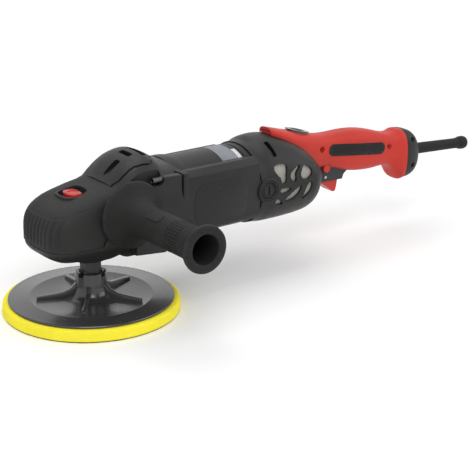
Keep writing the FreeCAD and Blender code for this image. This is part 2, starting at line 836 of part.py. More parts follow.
# ---------------------------------------------------------------- fan cowl
def cowl_body(inset):
    """The hump over the fan: low and wide at the front, highest over the vents."""
    axis = size("motor_axis")
    stations = [
        (size("boot_back") + 0.3, 44.6, 57.5, 138.6),
        (2, 45.0, 56.5, 141.0),
        (15, 45.6, 55.5, 153.5),
        (32, 45.8, 54.8, 159.0),
        (51, 46.0, 54.2, 160.2),
        (66, 46.2, 54.0, 154.5),
        (78, 46.4, 54.0, 149.5),
        (size("cowl_back"), 46.5, 54.0, 146.5),
    ]
    wires = []
    for i, (x, half, low, top) in enumerate(stations):
        edge = -1 if i == 0 else 1 if i == len(stations) - 1 else 0
        shift = edge * (2 if inset else 0)
        squared = 3.4 if i < 2 else 2.4
        wires.append(oval_section(x + shift, half - inset, low + inset, top - inset,
                                  squared, 24, 3.4, axis))
    return loft(wires)


def flange_plate(name, front, depth):
    """The squared flange where the cowl and the motor housing meet."""
    round_plate = rod(f"{name}_round", "flange_radius", depth, (front, "0", "motor_axis"), "x")
    square = block(f"{name}_square",
                   (front, "-housing_radius - 0.5", "motor_axis - housing_radius + 3"),
                   (f"{front} + {depth}", "housing_radius + 0.5", "motor_axis + housing_radius - 3"))
    return shared(name, round_plate, square)


def build_cowl():
    wall = size("cowl_wall")
    flange = flange_plate("cowl_flange", "cowl_back - flange_thick", "flange_thick")
    outer = fused("cowl_solid", coded("cowl_outer", cowl_body(0)), flange)
    shell = cut("cowl_shell", outer, coded("cowl_inner", cowl_body(wall)))
    drills = []
    for i, (y, z) in enumerate(flange_places()):
        drills.append(rod(f"cowl_hole_{i}", "2.2 + seat_fit", "40", ("cowl_back - 12", y, z), "x"))
        drills.append(rod(f"cowl_recess_{i}", "4", "12",
                          ("cowl_back - flange_thick - 12", y, z), "x"))
    for side, turn in (("near", "-y"), ("far", "y")):
        sign = "-" if side == "near" else ""
        drills.append(rod(f"cowl_boss_hole_{side}", "9 + cover_gap", "20",
                          ("side_handle_x", f"{sign}30", "side_handle_z"), turn))
    below = block("cowl_below", ("boot_back - 5", "-60", "40"),
                  ("case_step + cover_gap", "60", "boot_bottom + cover_gap"))
    slots = []
    for i, (x, z, tilt) in enumerate(((17, 149, 31), (33, 157, 14), (51, 160, 0))):
        slot = Part.makeBox(6, 34, 28, Vector(-3, -17, -14))
        slot.Placement = Placement(Vector(x, 0, z), Rotation(Vector(0, 1, 0), -tilt))
        slots.append(coded(f"cowl_slot_{i}", slot))
    node(cut("fan_cowl", shell, *drills, *slots, below))


def flange_places():
    """The four screws through the flanges of cowl and motor housing, as (y, z)."""
    reach = "(housing_radius - 4.8)"
    return [(f"{across} * {reach}", f"motor_axis + {up} * ({reach} - 3.4)")
            for across in (-1, 1) for up in (-1, 1)]


def build_flange_screws():
    screws = []
    for i, (y, z) in enumerate(flange_places()):
        front = "cowl_back - flange_thick"
        shank = rod(f"flange_shank_{i}", "2.2", "flange_thick + 5", (front, y, z), "x")
        head = rod(f"flange_head_{i}", "3.6", "5", (f"{front} - 5", y, z), "x")
        screws.append(fused(f"flange_screw_{i}", shank, head))
    node(group("housing_screws", screws))


# ---------------------------------------------------------------- motor
def build_armature(toe):
    bearing_x = "case_back - 2"
    rear = "rear_bearing_x + rear_bearing_width"
    start = f"{toe} - 3.4"
    shaft = turned("armature_shaft", [
        ("0", start),
        ("pinion_bore", start),
        ("pinion_bore", bearing_x + " - 0.3"),
        ("shaft_radius", bearing_x + " - 0.3"),
        ("shaft_radius", "rear_bearing_x"),
        ("rear_journal", "rear_bearing_x"),
        ("rear_journal", rear),
        ("0", rear),
    ], ("0", "0", "motor_axis"), "x")
    node(shaft)
    nut = DOC.addObject("Part::Prism", "pinion_nut_hex")
    nut.Polygon = 6
    bind(nut, "Circumradius", "pinion_bore + 1")
    bind(nut, "Height", "3")
    place(nut, (f"{toe} - 3.1", "0", "motor_axis"), "x")
    node(cut("pinion_nut", nut, rod("pinion_nut_hole", "pinion_bore + seat_fit", "8",
                                    (f"{toe} - 5", "0", "motor_axis"), "x")))
    bearing("armature_rear", "rear_journal", "rear_bearing_radius", "rear_bearing_width",
            ("rear_bearing_x", "0", "motor_axis"), "x")

    bore = "shaft_radius + seat_fit"
    hub = turned("fan_hub", [
        (bore, "0"), ("shaft_radius + 4", "0"), ("shaft_radius + 4", "fan_width - 2"),
        ("fan_radius", "fan_width - 2"), ("fan_radius", "fan_width"), (bore, "fan_width"),
    ], ("fan_front", "0", "motor_axis"), "x")
    blades = []
    count = int(size("fan_blades"))
    for i in range(count):
        blade = Part.makeBox(size("fan_width") - 3, size("fan_radius") - 10.5, 1.6,
                             Vector(size("fan_front") + 1, 9.5, -0.8))
        blade.rotate(Vector(0, 9.5, 0), Vector(1, 0, 0), 12)
        blade.rotate(Vector(), Vector(1, 0, 0), 360 * i / count)
        blade.translate(Vector(0, 0, size("motor_axis")))
        blades.append(coded(f"fan_blade_{i}", blade))
    node(fused("cooling_fan", hub, *blades))

    node(ring("armature_core", "core_radius", bore, "core_length",
              ("core_front", "0", "motor_axis"), "x"))
    windings = []
    for i, at in enumerate(("core_front - 12", "core_front + core_length")):
        outer = "core_radius - 2"
        windings.append(turned(f"winding_{i}", [
            (bore, "0"), (f"{outer} - 3", "0"), (outer, "3"), (outer, "9"),
            (f"{outer} - 3", "12"), (bore, "12"),
        ], (at, "0", "motor_axis"), "x"))
    node(group("armature_windings", windings))
    node(ring("commutator", "commutator_radius", bore, "commutator_length",
              ("commutator_x - commutator_length / 2", "0", "motor_axis"), "x"))


def build_motor():
    outer = rod("housing_round", "housing_radius", "housing_back - cowl_back",
                ("cowl_back", "0", "motor_axis"), "x")
    flats = block("housing_flats", ("cowl_back", "-housing_flat", "0"),
                  ("housing_back", "housing_flat", "200"))
    drills = [rod("housing_bore", "housing_radius - housing_wall", "housing_back - cowl_back + 2",
                  ("cowl_back - 1", "0", "motor_axis"), "x")]
    for i, (y, z) in enumerate(flange_places()):
        drills.append(rod(f"housing_hole_{i}", "2.2 + seat_fit", "9", ("cowl_back - 1", y, z), "x"))
    flange = flange_plate("housing_flange", "cowl_back", "flange_thick")
    barrel = fused("housing_barrel", shared("housing_body", outer, flats), flange)
    node(cut("motor_housing", barrel, *drills))

    stator_radius = "housing_radius - housing_wall - seat_fit"
    stator_bore = "core_radius + air_gap"
    stator = ring("stator_ring", stator_radius, stator_bore, "core_length",
                  ("core_front", "0", "motor_axis"), "x")
    slots = []
    coils = []
    for side, sign in (("near", "-"), ("far", "")):
        low, high = ("-36", "-29") if side == "near" else ("29", "36")
        for row, (a, b) in enumerate((("-17", "-9"), ("9", "17"))):
            slots.append(block(
                f"stator_slot_{side}_{row}",
                ("core_front - 1", f"{low} - 0.2", f"motor_axis + ({a}) - 0.2"),
                ("core_front + core_length + 1", f"{high} + 0.2", f"motor_axis + ({b}) + 0.2"),
            ))
        frame = block(f"coil_frame_{side}", ("core_front - 9", low, "motor_axis - 17"),
                      ("core_front + core_length + 9", high, "motor_axis + 17"))
        window = block(f"coil_window_{side}", ("core_front - 1", f"{low} - 1", "motor_axis - 9"),
                       ("core_front + core_length + 1", f"{high} + 1", "motor_axis + 9"))
        coils.append(cut(f"field_coil_{side}", frame, window))
    node(cut("stator_core", stator, *slots))
    node(group("field_coils", coils))


def build_brushes():
    half = "brush_wide / 2"
    wall = 1.6
    holders, brushes, springs, caps = [], [], [], []
    face = "commutator_radius + running_fit"
    holder_out = "housing_flat - 3.6"
    for side, turn, sign in (("near", "-y", "-"), ("far", "y", "")):
        def spans(a, b):
            return (f"-({b})", f"-({a})") if side == "near" else (a, b)

        low, high = spans("commutator_radius + 2", holder_out)
        box = block(f"holder_box_{side}",
                    (f"commutator_x - {half} - {wall}", low, f"motor_axis - {half} - {wall}"),
                    (f"commutator_x + {half} + {wall}", high, f"motor_axis + {half} + {wall}"))
        low, high = spans("commutator_radius + 1", "housing_flat")
        well = block(f"holder_well_{side}",
                     (f"commutator_x - {half} - running_fit", low,
                      f"motor_axis - {half} - running_fit"),
                     (f"commutator_x + {half} + running_fit", high,
                      f"motor_axis + {half} + running_fit"))
        holders.append(cut(f"holder_{side}", box, well))
        low, high = spans(face, f"{face} + brush_long")
        brushes.append(block(f"brush_{side}",
                             (f"commutator_x - {half}", low, f"motor_axis - {half}"),
                             (f"commutator_x + {half}", high, f"motor_axis + {half}")))
        centre = ("commutator_x", f"{sign}({holder_out})", "motor_axis")
        cap = turned(f"brush_cap_{side}", [
            ("0", "0"), ("brush_cap_radius - 1.5", "0"), ("brush_cap_radius - 1.5", "3"),
            ("brush_cap_radius", "3"), ("brush_cap_radius", "5.8"), ("0", "5.8"),
        ], centre, turn)
        slot = block(f"cap_slot_{side}",
                     ("commutator_x - 0.8",
                      f"{sign}({holder_out}) - 7" if side == "near" else f"{holder_out} + 4.8",
                      "motor_axis - 6"),
                     ("commutator_x + 0.8",
                      f"{sign}({holder_out}) - 4.8" if side == "near" else f"{holder_out} + 7",
                      "motor_axis + 6"))
        caps.append(cut(f"cap_{side}", cap, slot))
        spring_low = f"{face} + brush_long + 2 * cover_gap"
        length = size(f"{holder_out} - ({spring_low}) - cover_gap")
        spring = coil(2.6, 0.35, length, 5, Vector())
        spring.Placement = Placement(
            Vector(size("commutator_x"), (-1 if side == "near" else 1) * size(spring_low),
                   size("motor_axis")), TURNS[turn])
        springs.append(coded(f"brush_spring_{side}", spring))
    node(group("brush_holders", holders))
    node(group("carbon_brushes", brushes))
    node(group("brush_springs", springs))
    node(group("brush_caps", caps))


# ---------------------------------------------------------------- rear cover
def cover_solid(inset):
    """The rear cover's outer form, less an inset: a drum whose top falls away to the handle."""
    radius = size("cover_radius")
    axis = size("motor_axis")
    front, end = size("housing_back"), size("cover_end")
    stations = [
        (front, radius - 1.6, radius - 1.6, radius - 1.6),
        (front + 14, radius - 0.6, radius - 0.6, radius - 0.4),
        (front + 32, radius, radius, radius + 0.2),
        (end - 46, radius - 0.2, radius, radius - 3.6),
        (end - 33, radius - 1, radius - 0.6, radius - 9.4),
        (end - 21, radius - 2.7, radius - 2.3, radius - 17),
        (end - 12, radius - 7, radius - 8, radius - 25.5),
        (end - 6, radius - 15, radius - 18, radius - 33),
        (end - 2, radius - 26, radius - 30, radius - 40),
    ]
    wires = []
    for i, (x, half, below, above) in enumerate(stations):
        ends = {0: -1, len(stations) - 1: 1}
        if ends.get(i) == 1:
            shift = -inset
        elif ends.get(i) == -1:
            shift = -1 if inset > 0 else 0
        else:
            shift = -inset * max(0, x - end + 43) / 43
        wires.append(oval_section(x + shift, half - inset, axis - below + inset,
                                  axis + above - inset, 2.1, 28))
    return loft(wires)


def flat_cover(inset):
    """The rear cover's outer form with its two flat sides, less an inset."""
    reach = size("cover_flat") - inset
    box = Part.makeBox(300, 2 * reach, 300, Vector(0, -reach, -50))
    return cover_solid(inset).common(box)


def build_rear_cover():
    wall = size("cover_wall")
    shell = coded("cover_shell", flat_cover(0).cut(flat_cover(wall)))
    drills = []
    for side, turn in (("near", "-y"), ("far", "y")):
        sign = "-" if side == "near" else ""
        drills.append(rod(f"cover_cap_hole_{side}", "brush_cap_radius + seat_fit", "20",
                          ("commutator_x", f"{sign}38", "motor_axis"), turn))
    node(cut("rear_cover", shell, *drills, *vent_cutters()))
    seat = turned("seat_ring", [
        ("rear_bearing_radius", "0"),
        ("cover_radius - 0.6 - cover_wall - 1.2", "0"),
        ("cover_radius - 0.6 - cover_wall - 1.2", "3"),
        ("rear_bearing_radius + 3", "3"),
        ("rear_bearing_radius + 3", "rear_bearing_width + 2"),
        ("rear_journal + 3", "rear_bearing_width + 2"),
        ("rear_journal + 3", "rear_bearing_width"),
        ("rear_bearing_radius", "rear_bearing_width"),
    ], ("rear_bearing_x", "0", "motor_axis"), "x")
    reach = "cover_flat - cover_wall - seat_fit"
    flats = block("seat_flats", ("rear_bearing_x - 1", f"-({reach})", "0"),
                  ("cover_end", reach, "200"))
    node(shared("rear_bearing_seat", seat, flats))
    outside = wall + size("cover_gap")
    mesh = flat_cover(outside).cut(flat_cover(outside + size("mesh_wall")))
    kept = Part.makeBox(200, 200, 200, Vector(size("rear_bearing_x") + 12, -100, 0))
    node(coded("vent_mesh", mesh.common(kept)))


def vent_cutters():
    """Swirled vent windows: wedges about a point on each side of the cover."""
    cutters = []
    for side in (-1, 1):
        for i in range(6):
            start = 20 + 60 * i
            hub = Vector(size("cover_end") - 36, side * 30, size("motor_axis") + 6)
            inner, outer, sweep = 7, 25, 34
            arc = [Vector(outer * math.cos(math.radians(start + a)), 0,
                          outer * math.sin(math.radians(start + a))) for a in (0, sweep / 2, sweep)]
            near = [Vector(inner * math.cos(math.radians(start - 25 + a)), 0,
                           inner * math.sin(math.radians(start - 25 + a))) for a in (sweep, 0)]
            edges = [
                Part.Arc(*arc).toShape(),
                Part.LineSegment(arc[2], near[0]).toShape(),
                Part.LineSegment(near[0], near[1]).toShape(),
                Part.LineSegment(near[1], arc[0]).toShape(),
            ]
            window = Part.Face(Part.Wire(edges)).extrude(Vector(0, side * 30, 0))
            window.translate(hub)
            cutters.append(coded(f"vent_{'near' if side < 0 else 'far'}_{i}", window))
    return cutters


# ---------------------------------------------------------------- rear handle
def handle_stations():
    """The rear handle from its front tongue to its end flange, as (x, half width, low, top)."""
    half = size("handle_half")
    top, low = size("grip_top"), size("grip_low")
    back = size("handle_back")
    return [
        (221, half - 7, low + 54, top + 20.4),
        (229, half - 2, low + 50, top + 18.2),
        (245, half + 1.5, low + 38, top + 13.6),
        (260, half + 1.8, low + 25, top + 9.8),
        (276, half + 0.6, low + 15, top + 5.4),
        (292, half - 0.6, low + 12.8, top + 1.4),
        (306, half - 0.6, low + 10.2, top + 0.2),
        (324, half - 0.2, low + 4.4, top + 0.4),
        (346, half, low, top - 0.8),
        (372, half - 0.7, low - 1.2, top - 6.6),
        (394, half - 1.4, low - 3.4, top - 12.8),
        (400, half - 0.6, low - 8, top - 13.2),
        (406, half + 0.8, low - 17, top - 12),
        (back, half + 2.0, low - 21.5, top - 11.4),
    ]


def handle_solid(inset):
    """The handle's outer form less an inset."""
    wires = []
    stations = handle_stations()
    for i, (x, half, low, top) in enumerate(stations):
        end = -1 if i == 0 else 1 if i == len(stations) - 1 else 0
        shift = (3 if end > 0 else -4) * abs(end) if inset > 0 else 0
        wires.append(oval_section(x + shift, half - inset, low + inset, top - inset, 3.0))
    return loft(wires)


def build_handle():
    wall = size("handle_wall")
    outer = carve(handle_solid(0), cover_solid(-size("cover_gap")))
    cavity = carve(handle_solid(wall), cover_solid(-size("cover_gap") - wall))
    shell = carve(outer, cavity)
    for x, z in handle_screws_at():
        boss = Part.makeCylinder(4.6, 40, Vector(x, -20, z), Vector(0, 1, 0))
        shell = shell.fuse(boss.common(handle_solid(wall - 0.4)))
    for y, z in cap_screws_at():
        boss = Part.makeCylinder(3.6, 14, Vector(size("handle_back") - 14, y, z), Vector(1, 0, 0))
        web = Part.makeBox(14, 12, 2, Vector(size("handle_back") - 14, min(y, 2.4 * y), z - 1))
        shell = shell.fuse(boss.fuse(web).common(handle_solid(wall - 0.4)))
    shell = shell.cut(trigger_opening())
    shell = shell.cut(insert_shape(1, 0.15)).cut(insert_shape(-1, 0.15))
    shell = shell.cut(lock_on_clearance()).cut(bezel_seat())
    for x, z in handle_screws_at():
        shell = shell.cut(Part.makeCylinder(3.4, 10.6, Vector(x, -25, z), Vector(0, 1, 0)))
        shell = shell.cut(Part.makeCylinder(1.75, 42, Vector(x, -30, z), Vector(0, 1, 0)))
    for y, z in cap_screws_at():
        drill = Part.makeCylinder(1.75, 30, Vector(size("handle_back") - 12, y, z),
                                  Vector(1, 0, 0))
        shell = shell.cut(drill)
    for name, low in (("handle_shell_near", -100), ("handle_shell_far", 0)):
        half = Part.makeBox(400, 100, 400, Vector(150, low, -50))
        pieces = sorted(shell.common(half).Solids, key=lambda piece: piece.Volume)
        node(coded(name, pieces[-1]))


def lock_on_clearance():
    """The room that the lock-on button needs in the handle's lower edge."""
    radius = size("lock_on_radius + moving_gap")
    start = Vector(size("lock_on_x"), -30, size("lock_on_z"))
    return Part.makeCylinder(radius, 30, start, Vector(0, 1, 0))


def dial_place(lift):
    """The dial's place and tilt on the handle's sloping top, lifted along its own axis."""
    tilt = Rotation(Vector(0, 1, 0), size("dial_tilt"))
    base = Vector(size("dial_x"), 0, size("dial_z"))
    return Placement(base + tilt.multVec(Vector(0, 0, lift)), tilt)


def oval_plate(long, wide, low, high):
    """A flat plate with round ends on the dial's tilted axes."""
    reach = long - wide
    middle = Part.makeBox(2 * reach, 2 * wide, high - low, Vector(-reach, -wide, low))
    ends = [Part.makeCylinder(wide, high - low, Vector(sign * reach, 0, low))
            for sign in (-1, 1)]
    plate = middle.multiFuse(ends).removeSplitter()
    plate.Placement = dial_place(0)
    return plate


def bezel_seat():
    gap = size("seat_fit")
    return oval_plate(size("bezel_long") + gap, size("bezel_wide") + gap, -12, 30)


def build_dial():
    long, wide = size("bezel_long"), size("bezel_wide")
    plate = oval_plate(long, wide, -3.6, 1.2)
    lip = oval_plate(long + 1.2, wide + 1.2, 0.2, 1.2).cut(handle_solid(0))
    hole = Part.makeCylinder(size("dial_radius + moving_gap"), 60, Vector(0, 0, -30))
    hole.Placement = dial_place(0)
    node(coded("dial_bezel", plate.fuse(lip).removeSplitter().cut(hole)))
    dial = Part.makeCylinder(size("dial_radius"), 4.4, Vector(0, 0, -3.0))
    stem = Part.makeCylinder(2, 4.0, Vector(0, 0, -7.0))
    dial = dial.fuse(stem)
    dial.Placement = dial_place(0)
    node(coded("speed_dial", dial.removeSplitter()))
    body = Part.makeCylinder(size("dial_radius"), 2.8, Vector(0, 0, -6.5))
    arm = Part.makeCylinder(2.1, 20, Vector(0, 0, -12))
    body = body.cut(arm)
    body.Placement = dial_place(0)
    node(coded("speed_control", body))


def trigger_opening():
    half = size("trigger_half + 1.2")
    return Part.makeBox(27, 2 * half, 34, Vector(293.5, -half, 70))


def insert_shape(side, grow=0.0):
    """A long side grip pad let into the handle, with rounded ends."""
    start, end = Vector(304, 0, 118), Vector(374, 0, 108.5)
    rise = 6.6 + grow
    along = (end - start).normalize()
    across = Vector(-along.z, 0, along.x) * rise
    points = [start + across, end + across, end + along * rise, end - across, start - across,
              start - along * rise]
    edges = [
        Part.LineSegment(points[0], points[1]).toShape(),
        Part.Arc(points[1], points[2], points[3]).toShape(),
        Part.LineSegment(points[3], points[4]).toShape(),
        Part.Arc(points[4], points[5], points[0]).toShape(),
    ]
    face = Part.Face(Part.Wire(edges))
    bar = face.extrude(Vector(0, side * 30, 0))
    return bar.cut(handle_solid(1.2 + (0 if grow else -0.15)))


def handle_screws_at():
    return [(287, 121.5), (388, 108)]


def build_handle_fittings():
    pads = [insert_shape(side).common(handle_solid(-0.6)) for side in (-1, 1)]
    node(coded("grip_inserts", Part.makeCompound(pads)))

    screws = []
    for i, (x, z) in enumerate(handle_screws_at()):
        screws.append(fused(
            f"handle_screw_{i}",
            rod(f"handle_shank_{i}", "1.7", "25", (f"{x}", "-14.4", f"{z}"), "y"),
            rod(f"handle_head_{i}", "3.1", "2.2", (f"{x}", "-16.6", f"{z}"), "y"),
        ))
    half = size("handle_half")
    low, top = size("grip_low"), size("grip_top")
    back, end = size("handle_back"), size("cap_back")
    cap = loft([
        oval_section(back + 0.1, half + 2.0, low - 21.5, top - 11.4, 3.0),
        oval_section(back + 9, half + 1.6, low - 20.4, top - 13, 3.0),
        oval_section(back + 17, half - 0.4, low - 17, top - 18, 3.0),
        oval_section(back + 23, half - 4, low - 10, top - 27, 2.8),
        oval_section(end, half - 8, low - 4, top - 34, 2.6),
    ])
    hollow = loft([
        oval_section(back - 1, half - 1, low - 18.5, top - 14.4, 3.0),
        oval_section(back + 14, half - 3, low - 15.5, top - 20, 3.0),
        oval_section(back + 20, half - 8, low - 6, top - 32, 2.8),
    ])
    cap = cap.cut(hollow)
    neck = size("guard_radius + 0.6 + seat_fit")
    bore = Part.makeCylinder(neck, 60, guard_start() - guard_direction() * 30,
                             guard_direction())
    cap = cap.cut(bore)
    holes = [Part.makeCylinder(3.4, 40, Vector(back + 12, y, z), Vector(1, 0, 0))
             for y, z in cap_screws_at()]
    drills = [Part.makeCylinder(1.75, 60, Vector(back - 20, y, z), Vector(1, 0, 0))
              for y, z in cap_screws_at()]
    for tool in holes + drills:
        cap = cap.cut(tool)
    node(coded("end_cap", cap))
    for i, (y, z) in enumerate(cap_screws_at()):
        screws.append(fused(
            f"cap_screw_{i}",
            rod(f"cap_shank_{i}", "1.7", "16", ("handle_back - 4", f"{y}", f"{z}"), "x"),
            rod(f"cap_head_{i}", "3.1", "2.2", ("handle_back + 12", f"{y}", f"{z}"), "x"),
        ))
    node(group("handle_screws", screws))


def cap_screws_at():
    return [(-8.5, 108), (8.5, 108), (-8.5, 78), (8.5, 78)]


def guard_start():
    return Vector(size("cap_back") - 1, 0, size("guard_height"))


def guard_direction():
    droop = math.radians(size("guard_droop"))
    return Vector(math.cos(droop), 0, -math.sin(droop))


def build_cord_guard():
    length = "guard_length"
    profile = [
        ("guard_bore", "-14"), ("guard_radius + 3", "-14"), ("guard_radius + 3", "-11.5"),
        ("guard_radius + 0.6", "-11.5"), ("guard_radius + 0.6", "4"),
        ("guard_radius + 0.1", "10"), ("guard_radius - 0.3", f"{length} - 22"),
        ("guard_radius - 0.2", f"{length} - 13"), ("guard_radius + 1.2", f"{length} - 8"),
        ("guard_radius + 1.4", f"{length} - 3"), ("guard_radius + 0.6", length),
        ("guard_bore", length),
    ]
    guard = turned("cord_guard", profile)
    guard.Placement = Placement(guard_start(), Rotation(Vector(0, 1, 0), 90 + size("guard_droop")))
    node(guard)


def build_switch():
    """The switch, its dark surround, the trigger with its pin, and the lock-on button."""
    pivot = ("trigger_pivot_x", "-20", "trigger_pivot_z")
    surround_side = [("285.5", "106"), ("286.6", "84.5"), ("294.2", "81.5"), ("323", "80.3"), ("325", "85.6"),
                     ("331", "90"), ("336", "98")]
    outer = slab("surround_solid", surround_side, "2 * (trigger_half + 2)")
    inner = block("surround_slot", ("290", "-trigger_half - moving_gap", "60"),
                  ("320.4", "trigger_half + moving_gap", "140"))
    taken = coded("surround_taken",
                  handle_solid(-0.15).fuse(cover_solid(-size("cover_gap"))))
    button_hole = rod("surround_button_hole", "lock_on_radius + moving_gap", "20",
                      ("lock_on_x", "-20", "lock_on_z"), "y")
    pin_hole = rod("surround_pin_hole", "pin_radius + seat_fit", "40", pivot, "y")
    node(cut("switch_surround", outer, inner, taken, button_hole, pin_hole))
    node(rod("trigger_pin", "pin_radius", "2 * (trigger_half + 2)",
             ("trigger_pivot_x", "-trigger_half - 2", "trigger_pivot_z"), "y"))

    trigger_side = [
        ("296.2", "90.2"), ("296.2", "79.5"), ("298.5", "76.5"), ("305", "72"),
        ("310.5", "67.4"), ("313.4", "66.8"), ("315.4", "69"), ("316.6", "74"),
        ("317.8", "81"), ("318", "92"), ("315", "95"), ("304.5", "95"), ("303.5", "90.2"),
    ]
    finger = slab("trigger_finger", trigger_side, "2 * trigger_half")
    node(cut("trigger", finger, rod("trigger_pin_hole", "pin_radius + running_fit", "40",
                                    pivot, "y")))

    body = block("switch_box", ("301", "-9", "104"), ("336", "9", "122"))
    well = rod("switch_well", "plunger_radius + running_fit", "14",
               ("plunger_x", "0", "103"))
    node(cut("switch_body", body, well))
    node(rod("switch_plunger", "plunger_radius", "17", ("plunger_x", "0", "95.3")))

    head = rod("lock_on_head", "lock_on_radius", "2.6",
               ("lock_on_x", "-trigger_half - 4.9", "lock_on_z"), "y")
    stem = rod("lock_on_stem", "2.2", "7",
               ("lock_on_x", "-trigger_half - 2.6", "lock_on_z"), "y")
    node(fused("lock_on_button", head, stem))


# ---------------------------------------------------------------- side handle
def build_side_handle():
    start = ("side_handle_x", "-shield_start", "side_handle_z")
    length = "grip_length"
    profile = [
        ("stud_radius + 2", "2.6"), ("shield_radius - 3", "2.6"), ("shield_radius - 0.6", "0"),
        ("shield_radius", "1.2"), ("shield_radius - 1.2", "4"), ("shield_radius - 6.3", "9.5"),
        ("shield_radius - 12", "16.5"), ("grip_radius + 2.6", "26"),
        ("grip_radius + 0.6", "36"), ("grip_radius + 0.8", "60"), ("grip_radius + 0.2", "90"),
        ("grip_radius", f"{length} - 13"), ("grip_radius + 3", f"{length} - 7.5"),
        ("grip_lip", f"{length} - 3.6"), ("grip_lip", f"{length} - 1.8"),
        ("grip_lip - 1.6", length), ("grip_hollow", length), ("grip_hollow - 0.6", "62"),
        ("stud_radius + 2", "62"),
    ]
    node(turned("side_handle_grip", profile, start, "-y"))
    stud = [
        ("0", "-11"), ("stud_radius - running_fit", "-11"), ("stud_radius - running_fit", "-1.2"),
        ("stud_radius + 4.6", "-1.2"), ("stud_radius + 4.6", "2.5"),
        ("stud_radius + 2 - seat_fit", "2.5"), ("stud_radius + 2 - seat_fit", "58"), ("0", "58"),
    ]
    node(turned("side_handle_stud", stud, start, "-y"))


def finish():
    """Check every object, then write each node's solid to its own file."""
    DOC.recompute()
    failed = [o.Name for o in DOC.Objects if set(o.State) & {"Invalid", "Error"}]
    if failed:
        raise RuntimeError(f"failed objects: {failed}")
    os.makedirs("parts", exist_ok=True)
    names = [item.Label for item in NODES]
    if len(names) != len(set(names)):
        raise RuntimeError("two nodes share a label")
    for item in NODES:
        shape = item.Shape
        if shape.isNull() or not shape.isValid():
            raise RuntimeError(f"{item.Label} has no valid shape")
        shape.exportStep(f"parts/{item.Label}.step")
        print(f"{item.Label:28s} solids {len(shape.Solids):2d} volume {shape.Volume:10.1f}")


def main():
    insert_top = build_pad()
    gear_low = build_spindle(insert_top)
    toe = build_gears(gear_low)
    build_case()
    build_seal_and_bracket()
    build_boot()
    build_spindle_lock()
    build_cowl()
    build_flange_screws()
    build_armature(toe)
    build_motor()
    build_brushes()
    build_rear_cover()
    build_handle()
    build_handle_fittings()
    build_cord_guard()
    build_dial()
    build_switch()
    build_side_handle()
    finish()


main()
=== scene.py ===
"""Looks of the rotary polisher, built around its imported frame."""

import logging
import math
from collections.abc import Sequence
from dataclasses import dataclass
from enum import Enum

import bmesh
import bpy
from mathutils import Matrix, Vector, noise


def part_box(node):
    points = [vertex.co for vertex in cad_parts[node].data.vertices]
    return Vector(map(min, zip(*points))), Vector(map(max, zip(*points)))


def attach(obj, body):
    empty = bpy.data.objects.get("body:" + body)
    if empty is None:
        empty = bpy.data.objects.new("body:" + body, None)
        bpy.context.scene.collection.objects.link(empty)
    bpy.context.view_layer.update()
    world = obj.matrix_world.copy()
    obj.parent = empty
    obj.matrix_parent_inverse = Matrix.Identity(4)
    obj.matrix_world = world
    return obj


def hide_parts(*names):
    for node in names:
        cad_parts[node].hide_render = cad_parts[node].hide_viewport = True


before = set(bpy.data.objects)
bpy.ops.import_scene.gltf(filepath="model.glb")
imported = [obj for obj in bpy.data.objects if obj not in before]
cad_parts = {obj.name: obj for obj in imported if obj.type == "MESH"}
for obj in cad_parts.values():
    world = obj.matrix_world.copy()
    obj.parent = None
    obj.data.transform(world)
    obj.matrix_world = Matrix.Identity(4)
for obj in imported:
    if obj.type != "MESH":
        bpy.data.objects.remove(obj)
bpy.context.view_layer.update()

LOG = logging.getLogger("rotary_polisher")
MM = 0.001
# Pale colour of the painted highlight on sharp edges.
EDGE_HIGHLIGHT = (0.42, 0.42, 0.42, 1.0)
DUST = (0.30, 0.29, 0.27, 1.0)
Colour = tuple[float, float, float]
Place = tuple[float, float, float]
Point = tuple[float, float]


# ------------------------------------------------------------------ shader groups
@dataclass
class Graph:
    """A node tree with short ways to add and join nodes."""

    tree: bpy.types.NodeTree

    def add(self, kind: str, settings: dict | None = None, **values: object) -> bpy.types.Node:
        """Add a node.

        Args:
            kind: Node type without its ShaderNode prefix.
            settings: Properties of the node itself.
            values: Input values by name, with _ for a space, or sockets to link.

        Returns:
            The new node.
        """
        prefix = "" if kind.startswith("NodeGroup") else "ShaderNode"
        node = self.tree.nodes.new(prefix + kind)
        for key, value in (settings or {}).items():
            setattr(node, key, value)
        for key, value in values.items():
            name = key.replace("_", " ")
            socket = node.inputs[int(key[1:])] if key[0] == "i" and key[1:].isdigit() else (
                node.inputs[name])
            if isinstance(value, bpy.types.NodeSocket):
                self.tree.links.new(value, socket)
            else:
                socket.default_value = value
        return node

    def math(self, operation: str, first: object, second: object = 0.5) -> bpy.types.NodeSocket:
        """Add a Math node and return its result."""
        return self.add("Math", {"operation": operation}, i0=first, i1=second).outputs[0]

    def blend(self, factor: object, low: object, high: object) -> bpy.types.NodeSocket:
        """Mix two colours and return the result."""
        node = self.add("Mix", {"data_type": "RGBA"}, i0=factor, i6=low, i7=high)
        return node.outputs[2]

    def spread(self, value: object, low: float, high: float, to_low: float = 0.0,
               to_high: float = 1.0) -> bpy.types.NodeSocket:
        """Map a value from one range to another, clamped."""
        node = self.add("MapRange", None, i0=value, i1=low, i2=high, i3=to_low, i4=to_high)
        return node.outputs[0]


def shader_group(name: str, inputs: dict[str, object], outputs: dict[str, str]
                 ) -> tuple[Graph, bpy.types.Node, bpy.types.Node]:
    """Start a shader node group.

    Args:
        name: The group's name.
        inputs: Default value of each input by name; a tuple is a colour.
        outputs: Socket type of each output by name.

    Returns:
        The group's graph, its input node and its output node.
    """
    tree = bpy.data.node_groups.new(name, "ShaderNodeTree")
    for label, value in inputs.items():
        kind = "NodeSocketColor" if isinstance(value, tuple) else "NodeSocketFloat"
        socket = tree.interface.new_socket(label, in_out="INPUT", socket_type=kind)
        socket.default_value = value
    for label, kind in outputs.items():
        tree.interface.new_socket(label, in_out="OUTPUT", socket_type=kind)
    graph = Graph(tree)
    return graph, graph.add("NodeGroupInput"), graph.add("NodeGroupOutput")


